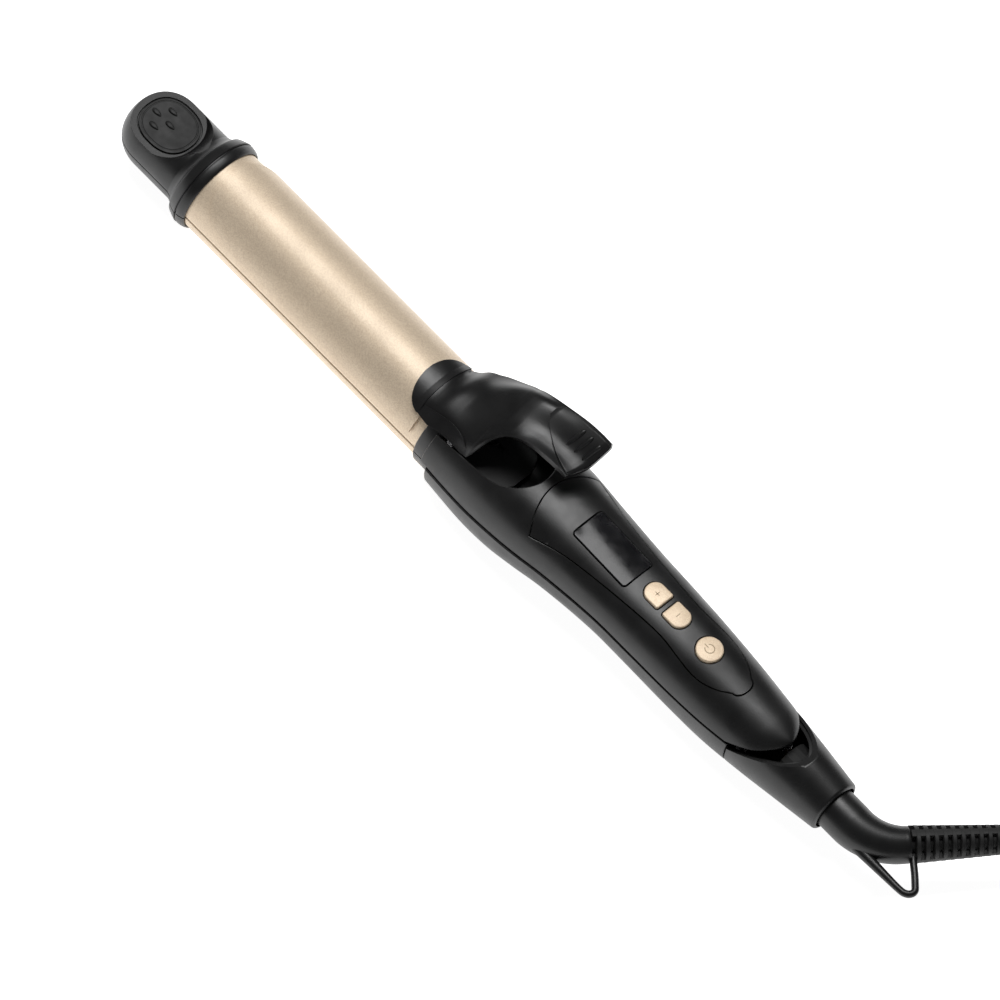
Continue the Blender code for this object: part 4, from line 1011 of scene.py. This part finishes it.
def flat_outline(grow):
    """Plan of the finger flat: round towards the barrel, open at the tip's end."""
    outline = [(-6.0, 15.0 + grow), (8.0, 15.0 + grow), (12.0, 13.6 + grow)]
    for i in range(0, 24):
        a = math.radians(90 * i / 24)
        outline.append((14.0 + (TIP_FLAT_END - 14.0 + grow) * math.sin(a),
                        (12.6 + grow) * math.cos(a) ** 0.9))
    outline.append((TIP_FLAT_END + grow, 0.0))
    mirrored = [(s, -y) for s, y in reversed(outline[:-1])]
    return outline + mirrored


def pad_shape(grow):
    return superellipse(PAD_CENTRE, PAD_HALF[0] + grow, PAD_HALF[1] + grow, 2.35)


def cool_tip():
    upper = tip_half("upper_tip_skin", 1, "upper_arm", "upper_tip")
    levels = [(TIP_FLAT, 0.0), (TIP_FLAT + 0.15, 0.25), (TIP_FLAT + 0.6, 0.6), (TIP_FLAT + 1.6, 1.1),
              (TIP_FLAT + 3.2, 1.9), (TIP_FLAT + 5.5, 3.6), (TIP_FLAT + 8.0, 6.5)]
    carve(upper, plan_solid(flat_outline, levels))
    carve(upper, plan_solid(pad_shape, [(TIP_FLAT - 0.7, 0.35), (TIP_FLAT - 0.15, 0.35),
                                        (TIP_FLAT + 0.1, 0.6), (TIP_FLAT + 0.4, 0.6)]))
    soften(upper, 0.35, 3, 40)
    even_normals(upper)
    lower = tip_half("lower_tip_skin", -1, "lower_arm", "lower_tip")
    soften(lower, 0.25, 2, 60)
    even_normals(lower)
    tip_pad()


def tip_pad():
    """Soft finger pad with a stepped rim and four leaf-shaped bumps."""
    levels = [(TIP_FLAT - 0.6, 0.0), (TIP_FLAT + 0.05, 0.0), (TIP_FLAT + 0.2, -0.1),
              (TIP_FLAT + 0.25, -0.3), (TIP_FLAT + 0.25, -0.75), (TIP_FLAT + 0.1, -0.9),
              (TIP_FLAT + 0.1, -1.15), (TIP_FLAT + 0.25, -1.35)]
    bm = plan_solid(pad_shape, levels)
    for s, y in LEAF_SPOTS:
        leaf_bump(bm, s, y)
    finish_piece("tip_pad_skin", bm, soft_rubber("tip_pad", 0.006), "upper_arm", ["tip_pad"])


def leaf_bump(bm, s, y):
    """Low bump that narrows to a point at its rear end."""
    rings = []
    for level, shrink in ((TIP_FLAT + 0.1, 1.0), (TIP_FLAT + 0.6, 0.94), (TIP_FLAT + 0.85, 0.72),
                          (TIP_FLAT + 0.95, 0.3)):
        ring = []
        for i in range(24):
            a = 2 * math.pi * i / 24
            width = LEAF_HALF[1] * (1 - 0.25 * math.cos(a))
            ring.append(place(s + LEAF_HALF[0] * shrink * math.cos(a),
                              y + width * shrink * math.sin(a), level))
        rings.append(ring)
    solid_rings(bm, rings)


# Lever

def guide_curve(points, share):
    table = [(float(i), *point) for i, point in enumerate(points)]
    return along(table, share * (len(points) - 1))


def lever_points(s, count, share_range=(0.0, 1.0)):
    """Outer curve of the lever's section as (y, z), from the near to the far edge."""
    if s < LEVER[0][0]:
        share = (s - LEVER_NOSE) / (LEVER[0][0] - LEVER_NOSE)
        reach = NOSE_HALF_ANGLE * max(1 - (1 - share) ** 2.2, 0.02) ** 0.5
        radius = 17.9 + 0.2 * share
        return [(radius * math.sin(math.radians(a)), radius * math.cos(math.radians(a)))
                for a in spread(reach, -reach, count)]
    flat_table = [(row[0], *[value for point in row[1:] for value in point]) for row in LEVER]
    values = along(flat_table, s)
    points = [(values[2 * i], values[2 * i + 1]) for i in range(5)]
    return [tuple(guide_curve(points, share)) for share in spread(*share_range, count)]


def offset_inward(points, depth):
    moved = []
    last = len(points) - 1
    for i, (y, z) in enumerate(points):
        before = points[max(i - 1, 0)]
        after = points[min(i + 1, last)]
        dy, dz = after[0] - before[0], after[1] - before[1]
        length = math.hypot(dy, dz)
        moved.append((y - depth * dz / length, z + depth * dy / length))
    return moved


def lever_depth(s):
    share = min(max((s - 146.0) / 7.0, 0.0), 1.0)
    return 0.55 + (LEVER_WALL - 0.55) * share


def paddle_row(s, count, share_range=(0.0, 1.0), lift=0.0):
    """Row of (s, y, z) points over the lever. Past PADDLE_REAR the rows bend to its rear edge."""
    way = max(s - PADDLE_REAR, 0.0) / PADDLE_TAIL
    points = offset_inward(lever_points(min(s, PADDLE_REAR), count, share_range), -lift)
    row = []
    for share, (y, z) in zip(spread(*share_range, count), points):
        rear = along(REAR_EDGE, share)[0]
        at_s = s if way == 0 else PADDLE_REAR + way * (rear - PADDLE_REAR)
        row.append((at_s, y, z - 0.3 * way))
    return row


def paddle_curve(s, count, share_range=(0.0, 1.0), lift=0.0):
    return [place(*point) for point in paddle_row(s, count, share_range, lift)]


def share_at(s, y):
    """Where on the lever's section, from its near to its far edge, a side position lies."""
    points = lever_points(min(s, PADDLE_REAR), 101)
    nearest = min(range(101), key=lambda i: abs(points[i][0] - y))
    return nearest / 100


def clamp_lever():
    rows = [LEVER_NOSE + 8.5 * (1 - math.cos(f * math.pi / 2)) for f in spread(0.0, 1.0, 16)]
    rows += spread(147.4, 168.0, 34) + spread(168.5, 176.0, 24) + spread(177.0, 198.0, 26)
    rows += spread(198.5, 202.0, 8)
    stations = [(paddle_curve(s, 57), paddle_curve(s, 57, lift=-lever_depth(s))) for s in rows]
    lever = wall_piece("lever_skin", stations, False, satin_plastic("lever", 0.0055, 0.34), "clamp",
                       ["clamp_lever"])
    soften(lever, 0.45, 3, 60)
    even_normals(lever)
    bm = bmesh.new()
    for side in (1, -1):
        outline = bar_outline(LEVER_PIN[0] + 0.5, side * 7.4, 2.8, 1.0)
        solid_rings(bm, [[place(s, y, LEVER_PIN[1] - 2.2) for s, y in outline],
                         [place(s, y, 17.6) for s, y in outline]])
    finish_piece("lever_ears", bm, satin_plastic("lever_ears"), "clamp")
    lever_skirt()


def lever_skirt():
    """Smooth cheek panel low on the lever's near side."""
    stations = []
    for k in range(33):
        share = k / 32
        s = 143.5 + 24.5 * share
        reach = 0.05 + 0.19 * math.sqrt(max(1 - (2 * share - 1) ** 2, 0.0)) * (0.6 + 0.4 * share)
        lift = 0.35 * min(1.0, min(k, 32 - k) / 3)
        stations.append((paddle_curve(s, 21, (0.0, reach), lift),
                         paddle_curve(s, 21, (0.0, reach), -0.3)))
    skirt = wall_piece("lever_cheek", stations, False, satin_plastic("lever_cheek", 0.006, 0.34),
                       "clamp")
    soften(skirt, 0.2, 3, 60)
    even_normals(skirt)


def thumb_pad():
    """Leaf-shaped grip on the paddle, with a dished face and three raised bars."""
    stations = []
    rows = spread(GRIP[0][0], 201.6, 44)
    for k, s in enumerate(rows):
        near, far = along(GRIP, s)
        span = (share_at(s, near), share_at(s, far))
        edge = 0.5 * (1 - min(k, 43 - k, 3) / 3)
        stations.append((paddle_curve(s, 31, span, 1.0 - edge), paddle_curve(s, 31, span, 0.1)))
    bm = bmesh.new()
    wall_between(bm, stations, False)
    for near_s, far_s in BARS:
        grip_bar(bm, near_s, far_s)
    pad = finish_piece("thumb_pad_skin", bm, satin_plastic("thumb_pad", 0.007, 0.4), "clamp",
                       ["thumb_pad"])
    soften(pad, 0.3, 3, 60)
    even_normals(pad)


def grip_bar(bm, near_s, far_s):
    spots = []
    radii = []
    for t in spread(0.0, 1.0, 16):
        s = near_s + (far_s - near_s) * t
        share = share_at(s, BAR_SPAN[0] + (BAR_SPAN[1] - BAR_SPAN[0]) * t)
        spots.append(place(*paddle_row(s, 3, (share - 0.01, share + 0.01), 0.75)[1]))
        radii.append((0.75 + 0.2 * t) * math.sqrt(max(1 - (2 * t - 1) ** 6, 0.03)))
    solid_rings(bm, swept_rings(spots, radii, 18))


# Elbow, loop and strain relief

def bend_point(distance, offset=0.0):
    """Plan point (s, y) on the swivel's bent centreline, measured past BEND_START."""
    arc = BEND_RADIUS * BEND
    turn = min(max(distance, 0.0) / BEND_RADIUS, BEND)
    s = BEND_START + BEND_RADIUS * math.sin(turn) + min(distance, 0.0)
    y = -BEND_RADIUS * (1 - math.cos(turn))
    beyond = max(distance - arc, 0.0)
    s += beyond * math.cos(BEND)
    y -= beyond * math.sin(BEND)
    return s + offset * math.sin(turn), y + offset * math.cos(turn)


def smooth_route(points, count):
    table = [(float(i), *p) for i, p in enumerate(points)]
    return [tuple(along(table, t)) for t in spread(0.0, len(points) - 1.0, count)]


def elbow():
    arc = BEND_RADIUS * BEND
    first, last = ELBOW_RADII
    spots = [(317.2, 6.6), (318.0, 7.4), (320.6, 7.4), (321.0, 6.6), (332.0, 6.6), (332.4, first - 0.3),
             (332.7, first), (BEND_START, first)]
    points = [place(s, 0.0, 0.0) for s, radius in spots]
    radii = [radius for s, radius in spots]
    for i in range(1, 25):
        points.append(place(*bend_point(arc * i / 24), 0.0))
        radii.append(first + (last - first) * i / 24)
    for way, drop in ((ELBOW_TAIL - 0.4, 0.0), (ELBOW_TAIL - 0.1, 0.12), (ELBOW_TAIL, 0.4)):
        points.append(place(*bend_point(arc + way), 0.0))
        radii.append(last - drop)
    bm = bmesh.new()
    solid_rings(bm, swept_rings(points, radii, 64))
    route = smooth_route(LOOP_ROUTE, 60)
    spots = [place(s, y, 0.0) for s, y in route]
    wires = [LOOP_WIRE + 0.9 * max(1 - i / 14, 0.0) ** 2 for i in range(60)]
    solid_rings(bm, swept_rings(spots, wires, 24))
    finish_piece("elbow_skin", bm, satin_plastic("elbow", 0.006, 0.36), "swivel", ["swivel_elbow"])


def relief_start():
    return BEND_RADIUS * BEND + ELBOW_TAIL + GAP


def relief_ring(distance, radius, low_angle=0.0, high_angle=360.0, count=48, closed=True):
    """Ring, or part of one, round the strain relief's centreline at a distance."""
    centre = place(*bend_point(distance), 0.0)
    ahead = place(*bend_point(distance + 1.0), 0.0)
    up = Vector((0, 0, 1))
    side = (ahead - centre).normalized().cross(up).normalized()
    ring = []
    steps = count if closed else count - 1
    for i in range(count):
        a = math.radians(low_angle + (high_angle - low_angle) * i / steps)
        ring.append(centre + (side * math.cos(a) + up * math.sin(a)) * radius * MM)
    return ring


def strain_relief():
    """Tapered boot: ribs tied by three spines round a slim core, with open slots between."""
    begin = relief_start()
    bm = bmesh.new()
    core = [(0.0, 3.3), (1.0, 3.3), (RELIEF_LENGTH - 1.0, 3.2), (RELIEF_LENGTH, 3.2)]
    solid_rings(bm, [relief_ring(begin + way, radius) for way, radius in core])
    for i in range(RELIEF_RIBS + 1):
        start = RELIEF_SLOT + i * RELIEF_PITCH
        end = min(start + RELIEF_PITCH - RELIEF_SLOT, RELIEF_LENGTH)
        if end - start < 0.8:
            continue
        rings = []
        for way, drop in ((start, 0.45), (start + 0.1, 0.2), (start + 0.3, 0.0), (end - 0.3, 0.0),
                          (end - 0.1, 0.2), (end, 0.45)):
            rings.append(relief_ring(begin + way, relief_radius(way) - drop))
        solid_rings(bm, rings)
    for middle, half in RELIEF_SPINES:
        low, high = middle - half, middle + half
        rings = []
        for way in spread(0.05, RELIEF_LENGTH - 0.4, 60):
            radius = relief_radius(way) - 0.06
            arc = relief_ring(begin + way, radius, low, high, 17, False)
            back = relief_ring(begin + way, 2.6, high, low, 17, False)
            rings.append(arc + back)
        solid_rings(bm, rings)
    finish_piece("strain_relief_skin", bm, soft_rubber("strain_relief", 0.007), "swivel",
                 ["strain_relief"], 40)


def relief_radius(way):
    return RELIEF_RADII[0] + (RELIEF_RADII[1] - RELIEF_RADII[0]) * way / RELIEF_LENGTH


# Cord and plug

def coil_centre():
    """Plan point (s, y): the cord meets the coil's outer turn along the relief's line."""
    begin = relief_start() + RELIEF_LENGTH + GAP
    s, y = bend_point(begin + CORD_DROP)
    return s + COIL_MEAN * math.sin(BEND), y + COIL_MEAN * math.cos(BEND)


def coil_spot(angle, radius, height):
    """Point in metres at an angle round the coil, clockwise from where the cord arrives."""
    s, y = coil_centre()
    a = BEND - math.pi / 2 - angle
    spot = place(s, y, 0.0)
    return Vector((spot.x + radius * MM * math.cos(a), spot.y + radius * MM * math.sin(a), height * MM))


def turn_shift(share):
    """Share of the way to the next turn: turns step over in their last fifth."""
    t = max((share - 0.8) / 0.2, 0.0)
    return t * t * (3 - 2 * t)


def cord_route():
    begin = relief_start() + RELIEF_LENGTH + 0.1
    drops = ((0.0, 0.0), (5.0, -0.25), (11.0, -1.9), (17.5, -5.3), (24.5, -9.5), (30.5, -12.6),
             (36.0, -14.2), (39.0, -14.4))
    lead = [place(*bend_point(begin + way), height) for way, height in smooth_route(drops, 22)]
    points = [Vector((p.x, p.y, max(p.z, 3.3 * MM))) for p in lead]
    for k, (radius, level) in enumerate(zip(COIL_TURNS, COIL_LEVELS)):
        last = k == len(COIL_TURNS) - 1
        next_radius = radius if last else COIL_TURNS[k + 1]
        next_level = level if last else COIL_LEVELS[k + 1]
        for i in range(TURN_POINTS if not last else 12):
            share = i / TURN_POINTS
            shift = turn_shift(share)
            points.append(coil_spot(2 * math.pi * share, radius + (next_radius - radius) * shift,
                                    level + (next_level - level) * shift))
    return points + tail_route()


def plug_place():
    """Station where the plug starts, its side and the height of its axis over the ground."""
    s, y = coil_centre()
    return s - PLUG_OFFSET[0], y - PLUG_OFFSET[1], COIL_TOP + GAP + PLUG_RISE


def tail_route():
    """From the inner turn up over the coil to the plug's rear."""
    begin, side, height = plug_place()
    rear = place(begin, side, height - AXIS_Z / MM)
    climb = ((12, 27.0, 14.5), (15, 26.6, 15.8), (18, 26.6, 18.4), (21, 27.6, 21.0),
             (24, 30.0, 23.2), (27, 33.0, 25.0))
    spots = [coil_spot(2 * math.pi * step / TURN_POINTS, radius, level) for step, radius, level in climb]
    spots += [rear + Vector((0.010, 0.0008, -0.0002)), rear + Vector((0.004, 0, 0)), rear]
    return [Vector(p) for p in smooth_route([tuple(spot) for spot in spots], 34)]


def cord():
    data = bpy.data.curves.new("mains_cord", "CURVE")
    data.dimensions = "3D"
    data.bevel_depth = CORD_RADIUS * MM
    data.bevel_resolution = 6
    data.use_fill_caps = True
    route = cord_route()
    spline = data.splines.new("POLY")
    spline.points.add(len(route) - 1)
    for point, spot in zip(spline.points, route):
        point.co = (*spot, 1.0)
    data.materials.append(soft_rubber("cord_jacket", 0.007))
    piece = add_object("mains_cord", data)
    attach(piece, "swivel")
    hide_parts("cord_lead", "cord_coil", "cord_tail")
    return piece, route


def plug():
    """Moulded plug with a grip waist and finger ribs."""
    begin, side, height = plug_place()
    z = height - AXIS_Z / MM
    sections = ((0.0, 3.5, 3.5), (0.6, 3.9, 3.9), (7.0, 4.5, 4.3), (9.0, 5.2, 4.6), (11.0, 7.4, 5.4),
                (13.0, 8.9, 6.1), (16.0, 9.6, 6.4), (PLUG_LENGTH - 6.0, 9.8, 6.6),
                (PLUG_LENGTH - 1.2, 9.5, 6.3), (PLUG_LENGTH - 0.4, 9.2, 6.0), (PLUG_LENGTH, 8.7, 5.6))
    rows = smooth_route(sections, 60)
    rings = []
    for way, half_y, half_z in rows:
        rib = 0.25 * math.sin((way - 15.0) * math.pi / 1.6) if 15.0 < way < 27.0 else 0.0
        ring = []
        for i in range(64):
            a = 2 * math.pi * i / 64
            c, s = math.cos(a), math.sin(a)
            ring.append(place(begin + way, side + (half_y + min(rib, 0)) * math.copysign(abs(c) ** 0.6, c),
                              z + (half_z + min(rib, 0)) * math.copysign(abs(s) ** 0.6, s)))
        rings.append(ring)
    bm = bmesh.new()
    solid_rings(bm, rings)
    return finish_piece("plug_skin", bm, soft_rubber("plug", 0.007), "swivel", ["plug_body"])


def cord_tie():
    """Flat band round the coil's section."""
    middle, level = TIE_CENTRE
    stations = []
    for k in range(9):
        angle = math.radians(200 + (k - 4) * 1.5)
        outer = []
        inner = []
        for i in range(40):
            a = 2 * math.pi * i / 40
            c, s = math.cos(a), math.sin(a)
            radius = middle + TIE_HALF[0] * math.copysign(abs(c) ** 0.5, c)
            height = level + TIE_HALF[1] * math.copysign(abs(s) ** 0.5, s)
            outer.append(coil_spot(angle, radius, height))
            inner.append(coil_spot(angle, middle + (radius - middle) * 0.955,
                                   level + (height - level) * 0.96))
        stations.append((outer, inner))
    return wall_piece("cord_tie", stations, True, soft_rubber("cord_tie", 0.012), "swivel")


def cord_set():
    piece, route = cord()
    others = [plug(), cord_tie(), "plug_blade_live", "plug_blade_neutral"]


# Carried-over frame parts

def finish_inner_parts():
    ceramic = (0.80, 0.77, 0.72)
    looks = {
        "arm_chassis": satin_plastic("inner_moulding", 0.006, 0.5),
        "lower_cover": satin_plastic("lower_moulding", 0.006, 0.5),
        "lever_well": satin_plastic("well_moulding", 0.003, 0.6),
        "display_module": chalky("display_module", (0.10, 0.11, 0.10)),
        "control_board": solder_mask("control_board"),
        "power_board": solder_mask("power_board"),
        "triac_block": satin_plastic("triac", 0.012, 0.5),
        "contact_block": chalky("contact_moulding", (0.006, 0.006, 0.006)),
        "swivel_contact": turned_steel("contact_brass", (0.70, 0.50, 0.22), 0.28),
        "upper_heater": chalky("upper_heater", ceramic),
        "lower_heater": chalky("lower_heater", ceramic),
        "temperature_sensor": chalky("sensor", ceramic),
    }
    dark_nodes = ("swivel_retainer", "hinge_bracket", "lever_spring")
    bright_nodes = ("lever_pin", "arm_hinge_pin", "arm_stop_screw", "thermal_fuse", "plug_blade_live",
                    "plug_blade_neutral", "plus_switch", "minus_switch", "power_switch")
    looks.update(dict.fromkeys(dark_nodes, turned_steel("blackened_steel", (0.02, 0.02, 0.022), 0.5)))
    looks.update(dict.fromkeys(bright_nodes, turned_steel("bright_steel")))
    for node, made in looks.items():
        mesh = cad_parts[node].data
        mesh.materials.clear()
        mesh.materials.append(made)


# Studio

def camera_back():
    """Direction from the object to the camera."""
    return Vector((math.sin(CAMERA_AZIMUTH) * math.cos(CAMERA_ELEVATION),
                   math.cos(CAMERA_AZIMUTH) * math.cos(CAMERA_ELEVATION),
                   math.sin(CAMERA_ELEVATION)))


def add_camera():
    back = camera_back()
    side = Vector((0, 0, 1)).cross(back).normalized()
    up = back.cross(side)
    right = math.cos(CAMERA_ROLL) * side + math.sin(CAMERA_ROLL) * up
    above = math.cos(CAMERA_ROLL) * up - math.sin(CAMERA_ROLL) * side
    data = bpy.data.cameras.new("camera")
    data.lens = CAMERA_LENS
    data.sensor_width = 36.0
    data.clip_start = 0.1
    data.clip_end = 50.0
    camera = add_object("camera", data)
    spot = Vector(CAMERA_TARGET) + back * CAMERA_DISTANCE
    camera.matrix_world = Matrix.Translation(spot) @ Matrix((right, above, back)).transposed().to_4x4()
    bpy.context.scene.camera = camera


def add_light(name, spot, target, size, energy):
    data = bpy.data.lights.new(name, "AREA")
    data.shape = "RECTANGLE"
    data.size, data.size_y = size
    data.energy = energy
    light = add_object(name, data)
    light.location = spot
    light.rotation_euler = (Vector(target) - Vector(spot)).to_track_quat("-Z", "Y").to_euler()


def add_stage():
    mesh = bpy.data.meshes.new("floor")
    half = 6.0
    corners = [(-half, -half, 0), (half, -half, 0), (half, half, 0), (-half, half, 0)]
    mesh.from_pydata(corners, [], [(0, 1, 2, 3)])
    floor = add_object("floor", mesh)
    shade = Shade("floor", (0.88, 0.88, 0.88), 0.85)
    shade.tint(shade.between(shade.noise(6, 3), 0, 1), (0.90, 0.90, 0.90))
    shade.shader.inputs["Emission Color"].default_value = (1, 1, 1, 1)
    shade.shader.inputs["Emission Strength"].default_value = 0.92
    shade.shader.inputs["Specular IOR Level"].default_value = 0.1
    mesh.materials.append(shade.made)
    world = bpy.data.worlds.new("studio")
    world.use_nodes = True
    background = world.node_tree.nodes["Background"]
    background.inputs["Color"].default_value = (1, 1, 1, 1)
    background.inputs["Strength"].default_value = 0.09
    bpy.context.scene.world = world
    bpy.context.scene.view_settings.view_transform = "Standard"


def add_lights():
    centre = (0.0, 0.0, 0.02)
    add_light("key", (0.30, -0.22, 1.22), centre, (0.80, 0.56), 11.5)
    lens_flag()


def lens_flag():
    """Small black card that keeps the key light's mirror image off part of the flat display lens."""
    back = camera_back()
    lens = place(LENS_CENTRE, 0.0, lens_level(LENS_CENTRE, 0.0))
    slope = lens_level(LENS_CENTRE + 1, 0) - lens_level(LENS_CENTRE, 0)
    normal = Vector((slope, 0, 1)).normalized()
    mirror = 2 * normal.dot(back) * normal - back
    reach = FLAG_HEIGHT / mirror.z
    growth = 1 + reach / CAMERA_DISTANCE
    points = []
    faces = []
    for outline in FLAG_OUTLINES:
        first = len(points)
        for across, way in outline:
            y = LENS_HALF[1] * (1 - 2 * across)
            s = LENS_HALF[0] * (2 * way - 1)
            points.append(lens + mirror * reach + Vector((-s * MM, y * MM, 0)) * growth)
        faces.append(list(range(first, len(points))))
    mesh = bpy.data.meshes.new("lens_flag")
    mesh.from_pydata(points, [], faces)
    card = add_object("lens_flag", mesh)
    shade = Shade("flag_cloth", (0.002, 0.002, 0.002), 0.9)
    shade.tint(shade.between(shade.noise(20), 0, 1), (0.003, 0.003, 0.003))
    mesh.materials.append(shade.made)


add_camera()
add_stage()
add_lights()
cord_set()
upper_shell()
lower_shell()
tail_parts()
console_panel()
display_lens()
keys()
half_barrel("upper_barrel_skin", 1, "upper_arm", "upper_half_barrel")
half_barrel("lower_barrel_skin", -1, "lower_arm", "lower_half_barrel")
base_ring("upper_ring_skin", 1, UPPER_START - 0.15, "upper_arm", "upper_base_ring")
base_ring("lower_ring_skin", -1, LOWER_START - 0.15, "lower_arm", "lower_base_ring")
ring_tongue()
clamp_plate()
cool_tip()
clamp_lever()
thumb_pad()
elbow()
strain_relief()
finish_inner_parts()
